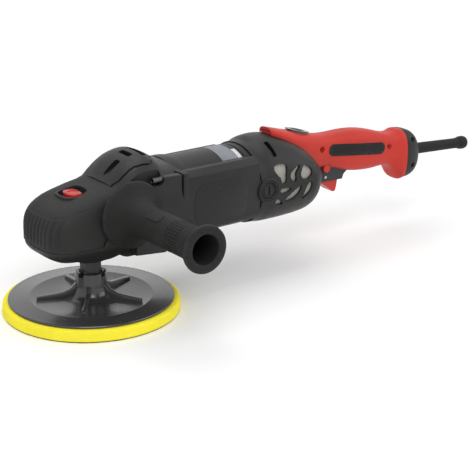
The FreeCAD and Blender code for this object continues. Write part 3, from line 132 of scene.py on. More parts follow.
def dust_and_highlight_group() -> bpy.types.ShaderNodeTree:
    """Make the group for uneven tone, dust in hollows and a painted highlight on sharp edges.

    Returns:
        A group that varies a finish's colour and roughness over its surface.
    """
    graph, given, result = shader_group(
        "dust_and_highlight",
        {"Colour": (0.1, 0.1, 0.1, 1.0), "Tone": 0.1, "Roughness": 0.5, "Smudge": 0.1,
         "Wear": 0.1, "Dust": 0.1},
        {"Colour": "NodeSocketColor", "Roughness": "NodeSocketFloat"},
    )
    place = graph.add("TexCoord").outputs["Object"]
    broad = graph.add("TexNoise", None, Vector=place, Scale=34.0, Detail=3.0).outputs[0]
    small = graph.add("TexNoise", None, Vector=place, Scale=210.0, Detail=5.0).outputs[0]
    tone = graph.spread(broad, 0.3, 0.7, -1.0, 1.0)
    lift = graph.math("MULTIPLY_ADD", tone, given.outputs["Tone"])
    lift.node.inputs[2].default_value = 1.0
    toned = graph.add("VectorMath", {"operation": "SCALE"}, i0=given.outputs["Colour"],
                      Scale=lift).outputs[0]
    shape = graph.add("NewGeometry").outputs["Pointiness"]
    # Painted highlight: sharp edges, found by Pointiness, get a pale colour in patches.
    edge = graph.spread(shape, 0.515, 0.58)
    patchy = graph.math("MULTIPLY", edge, graph.spread(small, 0.35, 0.65))
    painted_highlight = graph.math("MULTIPLY", patchy, given.outputs["Wear"])
    hollow = graph.spread(shape, 0.485, 0.44)
    dusty = graph.math("MULTIPLY", graph.math("MULTIPLY", hollow, small), given.outputs["Dust"])
    lit = graph.blend(painted_highlight, toned, EDGE_HIGHLIGHT)
    final = graph.blend(dusty, lit, DUST)
    smudge = graph.math("MULTIPLY", graph.spread(small, 0.25, 0.75, -1.0, 1.0),
                        given.outputs["Smudge"])
    graph.tree.links.new(final, result.inputs["Colour"])
    graph.tree.links.new(graph.math("ADD", given.outputs["Roughness"], smudge),
                         result.inputs["Roughness"])
    return graph.tree


class Grain(Enum):
    """The fine surface of a finish."""

    SPARK = "spark"
    RUBBER = "rubber"
    BRUSHED = "brushed"
    CAST = "cast"
    FOAM = "foam"
    HOOKS = "hooks"
    WEAVE = "weave"
    WOUND = "wound"
    SHEETS = "sheets"


def grain_group(grain: Grain) -> bpy.types.ShaderNodeTree:
    """Make the height group of one grain.

    Args:
        grain: Which fine surface to draw.

    Returns:
        A group with a Scale input, in marks per metre, and a Height output.
    """
    graph, given, result = shader_group(
        f"{grain.value} grain", {"Scale": 1000.0}, {"Height": "NodeSocketFloat"})
    place = graph.add("TexCoord").outputs["Object"]
    scale = given.outputs["Scale"]
    if grain in (Grain.SPARK, Grain.RUBBER):
        fine = graph.add("TexNoise", None, Vector=place, Scale=scale, Detail=2.0).outputs[0]
        cells = graph.add("TexVoronoi", None, Vector=place, Scale=scale).outputs[0]
        height = graph.math("MULTIPLY_ADD", cells, 0.5 if grain is Grain.SPARK else 0.15)
        graph.tree.links.new(fine, height.node.inputs[2])
    elif grain is Grain.BRUSHED:
        turned = graph.add("Mapping", None, Vector=place, Scale=(1.0, 1.0, 18.0)).outputs[0]
        height = graph.add("TexNoise", None, Vector=turned, Scale=scale, Detail=3.0).outputs[0]
    elif grain is Grain.CAST:
        height = graph.add("TexNoise", None, Vector=place, Scale=scale, Detail=6.0,
                           Roughness=0.7).outputs[0]
    elif grain is Grain.FOAM:
        cells = graph.add("TexVoronoi", {"feature": "SMOOTH_F1"}, Vector=place,
                          Scale=scale).outputs[0]
        height = graph.spread(cells, 0.05, 0.45)
    elif grain is Grain.HOOKS:
        rough = graph.add("TexNoise", None, Vector=place, Scale=scale, Detail=4.0,
                          Distortion=2.0).outputs[0]
        height = graph.spread(rough, 0.35, 0.65)
    elif grain is Grain.WEAVE:
        waves = [graph.add("TexWave", {"bands_direction": axis}, Vector=place,
                           Scale=scale).outputs[1] for axis in ("X", "Z")]
        height = graph.math("MAXIMUM", waves[0], waves[1])
    elif grain is Grain.WOUND:
        height = graph.add("TexWave", {"bands_direction": "DIAGONAL"}, Vector=place,
                           Scale=scale, Distortion=1.5).outputs[1]
    else:
        height = graph.add("TexWave", {"bands_direction": "X"}, Vector=place,
                           Scale=scale).outputs[1]
    graph.tree.links.new(height, result.inputs["Height"])
    return graph.tree


DUST_AND_HIGHLIGHT = dust_and_highlight_group()
GRAINS = {grain: grain_group(grain) for grain in Grain}


# ------------------------------------------------------------------ finishes
@dataclass(frozen=True)
class Finish:
    """One finish: a colour with its gloss, its fine grain, its traces of use and a painted edge
    highlight.
    """

    name: str
    slot: str
    colour: Colour
    rough: float
    grain: Grain
    marks: float
    depth: float
    metal: float = 0.0
    tone: float = 0.10
    smudge: float = 0.05
    # How much painted highlight the sharp edges get.
    wear: float = 0.02
    dust: float = 0.06
    coat: float = 0.0
    sheen: float = 0.0
    shine: float = 0.22

    def material(self) -> bpy.types.Material:
        """Build this finish's material on first use.

        Returns:
            The material, the same one each time.
        """
        label = self.name + "_finish"
        made = bpy.data.materials.get(label)
        if made:
            return made
        made = bpy.data.materials.new(label)
        made.use_nodes = True
        graph = Graph(made.node_tree)
        shader = made.node_tree.nodes["Principled BSDF"]
        shader.inputs["Metallic"].default_value = self.metal
        shader.inputs["Coat Weight"].default_value = self.coat
        shader.inputs["Specular IOR Level"].default_value = self.shine
        shader.inputs["Coat Roughness"].default_value = 0.12
        shader.inputs["Sheen Weight"].default_value = self.sheen
        # Tone, dust, smudges and the painted highlight on sharp edges.
        dust_and_highlight = graph.add("Group", {"node_tree": DUST_AND_HIGHLIGHT}, Colour=(*self.colour, 1.0),
                             Tone=self.tone, Roughness=self.rough, Smudge=self.smudge,
                             Wear=self.wear, Dust=self.dust)
        texture = graph.add("Group", {"node_tree": GRAINS[self.grain]}, Scale=self.marks)
        bump = graph.add("Bump", None, Height=texture.outputs[0], Strength=self.depth,
                         Distance=0.0004)
        colour = self.tint(graph, dust_and_highlight.outputs["Colour"], texture.outputs[0])
        graph.tree.links.new(colour, shader.inputs["Base Color"])
        graph.tree.links.new(dust_and_highlight.outputs["Roughness"], shader.inputs["Roughness"])
        graph.tree.links.new(bump.outputs[0], shader.inputs["Normal"])
        return made

    def tint(self, graph: Graph, colour: bpy.types.NodeSocket,
             height: bpy.types.NodeSocket) -> bpy.types.NodeSocket:
        """Return the colour as the grain changes it; a plain finish keeps it."""
        return colour

    def dress(self, piece: bpy.types.Object) -> None:
        """Give a piece this finish in its only material slot."""
        piece.data.materials.clear()
        piece.data.materials.append(self.material())


@dataclass(frozen=True)
class PoreShadedFinish(Finish):
    """A finish with painted shade in its grain's hollows, darker than its surface, for foam, cloth
    and mesh.
    """

    # Colour of the painted shade in the grain's hollows.
    hollow: Colour = (0.0, 0.0, 0.0)

    def tint(self, graph: Graph, colour: bpy.types.NodeSocket,
             height: bpy.types.NodeSocket) -> bpy.types.NodeSocket:
        """Return the colour with painted shade where the grain is low."""
        return graph.blend(height, (*self.hollow, 1.0), colour)


RED = (0.50, 0.033, 0.022)
BLACK = (0.020, 0.0198, 0.0194)
FINISHES = [
    PoreShadedFinish("hook_cloth", "hook_fabric", (0.05, 0.05, 0.05), 0.95, Grain.HOOKS, 900.0, 0.9,
                 hollow=(0.01, 0.01, 0.01)),
    PoreShadedFinish("yellow_foam", "yellow_foam", (0.98, 0.87, 0.05), 0.85, Grain.FOAM, 1500.0, 0.35,
                 tone=0.05, wear=0.0, dust=0.15, hollow=(0.90, 0.75, 0.03)),
    Finish("disc_plastic", "disc_plastic", (0.036, 0.036, 0.038), 0.24, Grain.SPARK, 1900.0,
           0.008, smudge=0.04, wear=0.0, dust=0.02, coat=0.3, shine=0.5),
    Finish("machined_steel", "steel", (0.52, 0.52, 0.53), 0.30, Grain.BRUSHED, 700.0, 0.12,
           metal=1.0, wear=0.0, dust=0.0),
    Finish("spindle_steel", "steel", (0.06, 0.06, 0.062), 0.42, Grain.BRUSHED, 700.0, 0.15,
           metal=0.6, wear=0.3, dust=0.0),
    Finish("dull_screw", "bright_screw", (0.085, 0.085, 0.088), 0.38, Grain.BRUSHED, 900.0, 0.1,
           metal=1.0, wear=0.0, dust=0.0),
    Finish("black_screw", "black_screw", (0.03, 0.03, 0.03), 0.38, Grain.CAST, 1500.0, 0.1,
           metal=0.5, wear=0.2),
    Finish("gear_steel", "gear_steel", (0.36, 0.36, 0.37), 0.28, Grain.CAST, 700.0, 0.1,
           metal=1.0, wear=0.0),
    Finish("case_paint", "case_metal", BLACK, 0.48, Grain.CAST, 1300.0, 0.12, wear=0.08),
    Finish("cast_aluminium", "aluminium", (0.62, 0.63, 0.64), 0.42, Grain.CAST, 900.0, 0.25,
           metal=1.0, wear=0.0),
    Finish("head_rubber", "head_rubber", (0.027, 0.0269, 0.0264), 0.58, Grain.RUBBER, 1600.0, 0.16,
           wear=0.06, shine=0.13),
    Finish("black_plastic", "black_plastic", (0.0185, 0.0184, 0.0180), 0.42, Grain.SPARK, 1700.0,
           0.14, wear=0.0, dust=0.03, shine=0.22),
    Finish("cap_black", "black_plastic", (0.016, 0.016, 0.017), 0.40, Grain.SPARK, 1700.0, 0.12),
    Finish("grey_plastic", "grey_plastic", (0.030, 0.033, 0.036), 0.52, Grain.SPARK, 1700.0, 0.2),
    Finish("red_plastic", "red_plastic", RED, 0.46, Grain.SPARK, 1500.0, 0.14, tone=0.05,
           wear=0.0, dust=0.05),
    Finish("red_gloss", "red_gloss", (0.50, 0.030, 0.020), 0.34, Grain.SPARK, 900.0, 0.05,
           tone=0.05, wear=0.0, dust=0.05, coat=0.1),
    Finish("grip_rubber", "grip_rubber", (0.0165, 0.0164, 0.0160), 0.58, Grain.RUBBER, 1500.0, 0.2,
           wear=0.05, shine=0.13),
    PoreShadedFinish("vent_mesh", "mesh", (0.42, 0.41, 0.37), 0.7, Grain.WEAVE, 320.0, 0.5,
                 wear=0.0, hollow=(0.20, 0.195, 0.175)),
    Finish("seal_rubber", "seal_rubber", (0.03, 0.03, 0.03), 0.6, Grain.RUBBER, 1500.0, 0.1),
    Finish("copper", "copper", (0.58, 0.25, 0.11), 0.33, Grain.WOUND, 420.0, 0.5, metal=0.9,
           wear=0.0),
    Finish("carbon", "carbon", (0.025, 0.025, 0.025), 0.55, Grain.CAST, 2000.0, 0.1),
    Finish("lamination", "lamination", (0.26, 0.26, 0.27), 0.45, Grain.SHEETS, 320.0, 0.5,
           metal=0.9, wear=0.0),
    Finish("bezel_gloss", "bezel_gloss", (0.012, 0.012, 0.014), 0.14, Grain.SPARK, 700.0, 0.02,
           smudge=0.06, coat=0.6, shine=0.5),
    Finish("fan_plastic", "fan_plastic", (0.42, 0.42, 0.40), 0.5, Grain.SPARK, 1500.0, 0.1),
    Finish("plate_silver", "bright_screw", (0.20, 0.21, 0.23), 0.45, Grain.BRUSHED, 1500.0, 0.05,
           metal=0.1, wear=0.0, dust=0.02),
    Finish("plate_white", "bright_screw", (0.58, 0.58, 0.58), 0.45, Grain.SPARK, 900.0, 0.03,
           tone=0.02, wear=0.0, dust=0.02),
    Finish("label_black", "bezel_gloss", (0.0150, 0.0149, 0.0147), 0.30, Grain.BRUSHED, 1600.0,
           0.005, tone=0.04, wear=0.0, dust=0.0, shine=0.25),
]
FINISH = {finish.name: finish for finish in FINISHES}


# ------------------------------------------------------------------ mesh making
def axes(direction: str) -> Matrix:
    """Return the turn that takes local Z to a named axis."""
    turns = {"z": Matrix.Identity(4), "x": Matrix.Rotation(math.pi / 2, 4, "Y"),
             "-y": Matrix.Rotation(math.pi / 2, 4, "X"), "y": Matrix.Rotation(-math.pi / 2, 4, "X")}
    return turns[direction]


def lathe(profile: Sequence[Point], steps: int = 96, at: Sequence[float] = (0, 0, 0),
          direction: str = "z") -> bmesh.types.BMesh:
    """Spin a profile of (radius, height) in mm about an axis.

    Args:
        profile: The half section, in order along the surface.
        steps: Faces around the axis.
        at: The axis's foot in mm.
        direction: The axis that local Z becomes.

    Returns:
        The spun mesh, in metres, with its seam and poles closed.
    """
    bm = bmesh.new()
    line = [bm.verts.new((r * MM, 0.0, h * MM)) for r, h in profile]
    for first, second in zip(line, line[1:] + line[:1]):
        bm.edges.new((first, second))
    bmesh.ops.spin(bm, geom=bm.verts[:] + bm.edges[:], cent=(0, 0, 0), axis=(0, 0, 1),
                   angle=math.tau, steps=steps, use_merge=True)
    bmesh.ops.remove_doubles(bm, verts=bm.verts[:], dist=1e-7)
    bmesh.ops.dissolve_degenerate(bm, edges=bm.edges[:], dist=1e-7)
    place = Matrix.Translation(Vector(at) * MM) @ axes(direction)
    bmesh.ops.transform(bm, matrix=place, verts=bm.verts[:])
    bmesh.ops.recalc_face_normals(bm, faces=bm.faces[:])
    return bm


def plate(outline: Sequence[Point], depth: float, plane: str = "xz", centre: float = 0.0,
          bevel: float = 0.0, segments: int = 2) -> bmesh.types.BMesh:
    """Extrude a flat outline in mm both ways from a plane, with soft edges.

    Args:
        outline: Corners in the plane's two axes.
        depth: Full thickness in mm.
        plane: Which two axes the outline is in: "xz", "xy" or "yz".
        centre: Where the middle of the thickness lies on the third axis, in mm.
        bevel: Edge rounding in mm.
        segments: Faces across the rounding.

    Returns:
        The solid plate in metres.
    """
    lift = {"xz": lambda a, b, c: (a, c, b), "xy": lambda a, b, c: (a, b, c),
            "yz": lambda a, b, c: (c, a, b)}[plane]
    bm = bmesh.new()
    low = centre - depth / 2
    face = bm.faces.new([bm.verts.new(Vector(lift(a, b, low)) * MM) for a, b in outline])
    moved = bmesh.ops.extrude_face_region(bm, geom=[face])["geom"]
    shift = Vector(lift(0, 0, depth)) * MM
    raised = [item for item in moved if isinstance(item, bmesh.types.BMVert)]
    bmesh.ops.translate(bm, vec=shift, verts=raised)
    bmesh.ops.recalc_face_normals(bm, faces=bm.faces[:])
    if bevel:
        bmesh.ops.bevel(bm, geom=bm.edges[:], offset=bevel * MM, segments=segments, profile=0.5,
                        affect="EDGES", material=-1, clamp_overlap=True)
    return bm


def arc(centre: Point, radius: float, start: float, end: float, steps: int = 8) -> list[Point]:
    """Return points in mm along a circle's arc, with its angles in degrees."""
    turns = [math.radians(start + (end - start) * i / steps) for i in range(steps + 1)]
    return [(centre[0] + radius * math.cos(t), centre[1] + radius * math.sin(t)) for t in turns]


def stadium(centre: Point, long: float, wide: float, corner: float, tilt: float = 0.0,
            steps: int = 5) -> list[Point]:
    """Draw a rounded rectangle's outline.

    Args:
        centre: Its middle in mm.
        long: Its full size along the first axis in mm.
        wide: Its full size along the second axis in mm.
        corner: The radius of its corners in mm.
        tilt: How far it is turned, in degrees.
        steps: Steps around each corner.

    Returns:
        The outline's points in mm.
    """
    points = []
    for i, (sx, sy) in enumerate(((1, 1), (-1, 1), (-1, -1), (1, -1))):
        middle = (sx * (long / 2 - corner), sy * (wide / 2 - corner))
        points += arc(middle, corner, 90 * i, 90 * i + 90, steps)
    turn = math.radians(tilt)
    return [(centre[0] + x * math.cos(turn) - y * math.sin(turn),
             centre[1] + x * math.sin(turn) + y * math.cos(turn)) for x, y in points]


def merged(*parts: bmesh.types.BMesh) -> bmesh.types.BMesh:
    """Join several meshes into the first.

    Args:
        parts: The meshes; all but the first are used up.

    Returns:
        The first mesh with the others in it.
    """
    first = parts[0]
    for other in parts[1:]:
        held = bpy.data.meshes.new("held")
        other.to_mesh(held)
        first.from_mesh(held)
        other.free()
        bpy.data.meshes.remove(held)
    return first


def node_copy(name: str) -> bmesh.types.BMesh:
    """Copy a CAD node's mesh.

    Args:
        name: The node's name.

    Returns:
        The mesh as one merged surface, in metres.
    """
    bm = bmesh.new()
    bm.from_mesh(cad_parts[name].data)
    bmesh.ops.remove_doubles(bm, verts=bm.verts[:], dist=2e-6)
    bmesh.ops.dissolve_degenerate(bm, edges=bm.edges[:], dist=1e-6)
    return bm


def plain_object(bm: bmesh.types.BMesh, name: str) -> bpy.types.Object:
    """Turn a mesh being built into an object of the scene.

    Args:
        bm: The mesh in metres, which is used up.
        name: The object's name.

    Returns:
        The object, at the origin.
    """
    mesh = bpy.data.meshes.new(name)
    bm.to_mesh(mesh)
    bm.free()
    piece = bpy.data.objects.new(name, mesh)
    bpy.context.scene.collection.objects.link(piece)
    return piece


def cut_away(bm: bmesh.types.BMesh, *cutters: bmesh.types.BMesh,
             operation: str = "DIFFERENCE") -> bmesh.types.BMesh:
    """Cut solids from a solid, or join them to it.

    Args:
        bm: The solid to work on, which is used up.
        cutters: The solids to take away or to join, which are used up.
        operation: The Boolean modifier's operation.

    Returns:
        The new solid.
    """
    target = plain_object(bm, "being_cut")
    tools = []
    for i, cutter in enumerate(cutters):
        tool = plain_object(cutter, f"cutter_{i}")
        modifier = target.modifiers.new(f"cut_{i}", "BOOLEAN")
        modifier.operation = operation
        modifier.solver = "EXACT"
        modifier.object = tool
        tools.append(tool)
    graph = bpy.context.evaluated_depsgraph_get()
    shape = bpy.data.meshes.new_from_object(target.evaluated_get(graph))
    result = bmesh.new()
    result.from_mesh(shape)
    for held in (target, *tools):
        mesh = held.data
        bpy.data.objects.remove(held)
        bpy.data.meshes.remove(mesh)
    bpy.data.meshes.remove(shape)
    return result


@dataclass
class Assembly:
    """What every sub-assembly shares: how its meshes become dressed, riding pieces."""

    body: str = "housing"

    def add(self, name: str, bm: bmesh.types.BMesh, finish: str, replaces: Sequence[str] = (),
            bevel: float = 0.0, sharp: float = 32.0, body: str = "") -> bpy.types.Object:
        """Make a piece from its mesh.

        Args:
            name: The piece's name.
            bm: Its mesh in metres, which is used up.
            finish: The name of its finish.
            replaces: CAD nodes that it stands for.
            bevel: Width in mm of a live bevel on its sharp edges.
            sharp: Angle in degrees above which an edge stays sharp.
            body: The body it rides on, if not the assembly's own.

        Returns:
            The finished object.
        """
        piece = plain_object(bm, name)
        piece.data.shade_smooth()
        piece.data.set_sharp_from_angle(angle=math.radians(sharp))
        if bevel:
            edge = piece.modifiers.new("soft_edges", "BEVEL")
            edge.width = bevel * MM
            edge.segments = 2
            edge.limit_method = "ANGLE"
            edge.angle_limit = math.radians(sharp)
            edge.harden_normals = True
        chosen = FINISH[finish]
        chosen.dress(piece)
        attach(piece, body or self.body)
        if replaces:
            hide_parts(*replaces)
        LOG.info("%s: %d faces, %s", name, len(piece.data.polygons), finish)
        return piece


# ------------------------------------------------------------------ pad and spindle
@dataclass
class PadSet(Assembly):
    """The foam pad, its backing disc and the spindle's visible end."""

    body: str = "spindle_set"
    ribs: int = 5
    rib_turn: float = 14.7
    rib_thick: float = 4.6
    hub: float = 16.0
    notch_turns: tuple[int, ...] = (20, 110, 200, 290)

    def build(self) -> None:
        """Build the pad's pieces from the bottom up."""
        self.build_hooks()
        self.build_foam()
        self.build_disc()
        self.build_spindle()

    def build_hooks(self) -> None:
        """Build the thin hook cloth, whose edge is a little uneven."""
        _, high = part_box("hook_face")
        radius, top = high.x / MM, high.z / MM
        bm = lathe([(0, 0), (radius - 6, 0), (radius - 0.4, 0), (radius, top / 2),
                    (radius - 0.3, top), (0, top)], 240)
        for vert in bm.verts:
            reach = vert.co.xy.length
            if reach > (radius - 2) * MM:
                jitter = noise.noise(vert.co.xyz * 700) * 0.5 * MM
                vert.co.xy *= (reach + jitter - 0.4 * MM) / reach
        self.add("hook_cloth", bm, "hook_cloth", ["hook_face"])

    def build_foam(self) -> None:
        """Build the foam layer with soft edges and a slightly uneven side."""
        low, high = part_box("foam_pad")
        radius, foot, top = high.x / MM, low.z / MM, high.z / MM
        profile = [(0, foot), (radius - 4, foot), (radius - 1.4, foot + 0.1),
                   (radius - 0.5, foot + 0.5), (radius - 0.1, foot + 1.4), (radius, foot + 3),
                   (radius - 0.5, top - 4), (radius - 1.0, top - 1.6), (radius - 1.7, top - 0.5),
                   (radius - 2.8, top), (radius - 5, top), (0, top)]
        bm = lathe(profile, 240)
        for vert in bm.verts:
            reach = vert.co.xy.length
            if reach > (radius - 3) * MM:
                wave = noise.noise(vert.co.xyz * 60) * 0.35 + noise.noise(vert.co.xyz * 400) * 0.1
                vert.co.xy *= (reach - (0.25 + wave) * MM) / reach
        foam = self.add("foam_layer", bm, "yellow_foam", ["foam_pad"], sharp=60)

    def build_disc(self) -> None:
        """Build the moulded disc: rim, ring, flared hub, ribs and notches."""
        low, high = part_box("backing_disc")
        foot, top = low.z / MM, high.z / MM
        rim, face, hub = high.x / MM, foot + 2.8, self.hub
        profile = [(10.1, foot), (rim - 0.8, foot), (rim, foot + 0.6), (rim, face - 1.0),
                   (rim - 0.5, face - 0.35), (rim - 1.3, face - 0.1), (rim - 3.4, face - 0.25),
                   (rim - 4.2, face - 0.05), (63.6, face), (62.8, face + 0.28),
                   (61.4, face + 0.28), (60.6, face), (hub + 12, face), (hub + 8, face + 0.5),
                   (hub + 4.6, face + 2.0), (hub + 2.2, face + 4.6), (hub + 0.8, face + 8),
                   (hub, face + 12), (hub, top - 1.2), (hub - 0.4, top - 0.4), (hub - 1.2, top),
                   (12.6, top), (11.8, top - 0.5), (11.6, top - 3.6), (10.1, top - 3.8)]
        bm = lathe(profile, 200)
        notches = []
        for turn in self.notch_turns:
            notch = plate(stadium((hub - 2, 0), 8, 6.4, 1.2), 7, "xy", top)
            bmesh.ops.rotate(notch, cent=(0, 0, 0), verts=notch.verts[:],
                             matrix=Matrix.Rotation(math.radians(turn), 3, "Z"))
            notches.append(notch)
        bm = cut_away(bm, merged(*notches))
        rib = [(hub - 3, face - 1.6), (55.2, face - 1.6), (55.2, face + 2.9), (50, face + 3.4),
               (36, face + 4.4), (28, face + 5.4), (hub + 5, face + 8.4), (hub, face + 14),
               (hub - 3, face + 15)]
        for i in range(self.ribs):
            bar = plate(rib, self.rib_thick, bevel=0.7)
            turn = math.radians(self.rib_turn + 360 * i / self.ribs)
            bmesh.ops.rotate(bar, cent=(0, 0, 0), verts=bar.verts[:],
                             matrix=Matrix.Rotation(turn, 3, "Z"))
            merged(bm, bar)
        self.add("disc_with_hub", bm, "disc_plastic", ["backing_disc"])

    def build_spindle(self) -> None:
        """Build the spindle with its collar and two wrench flats."""
        low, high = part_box("spindle")
        foot, top = low.z / MM, high.z / MM
        profile = [(0, foot), (6.2, foot), (7, foot + 0.8), (7, 38.8), (10.2, 38.8), (10.7, 39.3),
                   (10.7, 52.2), (10.3, 52.8), (10.3, 54.6), (10.7, 55.2), (10.7, 58.4),
                   (9.1, 58.9), (9.1, 64), (7.5, 64), (7.5, 73), (7, 73), (7, 94), (5.5, 94),
                   (5.5, top - 7), (4, top - 7), (4, top), (0, top)]
        bm = lathe(profile, 96)
        flats = [plate([(-20, 41.6), (20, 41.6), (20, 51), (-20, 51)], 6, "yz",
                       side * (8.7 + 3)) for side in (-1, 1)]
        bm = cut_away(bm, merged(*flats))
        self.add("spindle_turned", bm, "spindle_steel", ["spindle"], bevel=0.25)


def oval(x: float, half: float, low: float, top: float, power: float = 2.6,
         below: float | None = None, middle: float | None = None,
         count: int = 120) -> list[Vector]:
    """Return a squared oval across X in mm.

    Args:
        x: Its place along the tool.
        half: Half its width.
        low: Its lowest height.
        top: Its highest height.
        power: How square it is; 2 is an ellipse.
        below: A power of its own for the lower half.
        middle: The height of its widest line, if not halfway.
        count: Number of points.

    Returns:
        The points, counter-clockwise from +Y.
    """
    middle = (low + top) / 2 if middle is None else middle
    points = []
    for i in range(count):
        c, s = math.cos(math.tau * i / count), math.sin(math.tau * i / count)
        squared = below if below and s < 0 else power
        rise = top - middle if s > 0 else middle - low
        points.append(Vector((x, half * math.copysign(abs(c) ** (2 / squared), c),
                              middle + rise * math.copysign(abs(s) ** (2 / squared), s))))
    return points


def eased(stations: Sequence[Sequence[float]], step: float) -> list[list[float]]:
    """Fill in between stations with smooth steps.

    Args:
        stations: Rows whose first value rises from row to row.
        step: Largest step of that first value.

    Returns:
        The rows with smooth rows added between them.
    """
    slopes = []
    for i in range(len(stations)):
        before, after = stations[max(0, i - 1)], stations[min(len(stations) - 1, i + 1)]
        slopes.append([(b - a) / (after[0] - before[0]) for a, b in zip(before, after)])
    rows = []
    for i, (first, second) in enumerate(zip(stations, stations[1:])):
        wide = second[0] - first[0]
        count = max(1, math.ceil(wide / step))
        for k in range(count):
            t = k / count
            h = (2 * t ** 3 - 3 * t ** 2 + 1, t ** 3 - 2 * t ** 2 + t,
                 3 * t ** 2 - 2 * t ** 3, t ** 3 - t ** 2)
            rows.append([h[0] * a + h[1] * wide * m + h[2] * b + h[3] * wide * n
                         for a, b, m, n in zip(first, second, slopes[i], slopes[i + 1])])
    return rows + [list(stations[-1])]


def skin(rings: Sequence[Sequence[Vector]]) -> bmesh.types.BMesh:
    """Join rings into one closed solid with flat ends.

    Args:
        rings: Rings of points in mm, all of one count.

    Returns:
        The solid in metres.
    """
    bm = bmesh.new()
    lines = [[bm.verts.new(point * MM) for point in ring] for ring in rings]
    for first, second in zip(lines, lines[1:]):
        for i in range(len(first)):
            k = (i + 1) % len(first)
            bm.faces.new((first[i], first[k], second[k], second[i]))
    bm.faces.new(lines[0])
    bm.faces.new(lines[-1])
    bmesh.ops.recalc_face_normals(bm, faces=bm.faces[:])
    return bm


def rounded(outline: Sequence[Point], cuts: int = 2) -> list[Point]:
    """Round a closed outline by cutting its corners again and again.

    Args:
        outline: The outline's corners.
        cuts: How often every corner is cut.

    Returns:
        The rounder outline.
    """
    for _ in range(cuts):
        outline = [point for a, b in zip(outline, [*outline[1:], outline[0]])
                   for point in ((a[0] * 0.75 + b[0] * 0.25, a[1] * 0.75 + b[1] * 0.25),
                                 (a[0] * 0.25 + b[0] * 0.75, a[1] * 0.25 + b[1] * 0.75))]
    return list(outline)


def turned_about(bm: bmesh.types.BMesh, centre: Sequence[float], degrees: float,
                 axis: str) -> bmesh.types.BMesh:
    """Turn a mesh about an axis through a point in mm."""
    bmesh.ops.rotate(bm, cent=Vector(centre) * MM, verts=bm.verts[:],
                     matrix=Matrix.Rotation(math.radians(degrees), 3, axis))
    return bm


def smooth_step(value: float, low: float, high: float) -> float:
    """Return 0 below low, 1 above high and a soft rise between them."""
    t = min(1.0, max(0.0, (value - low) / (high - low)))
    return t * t * (3 - 2 * t)


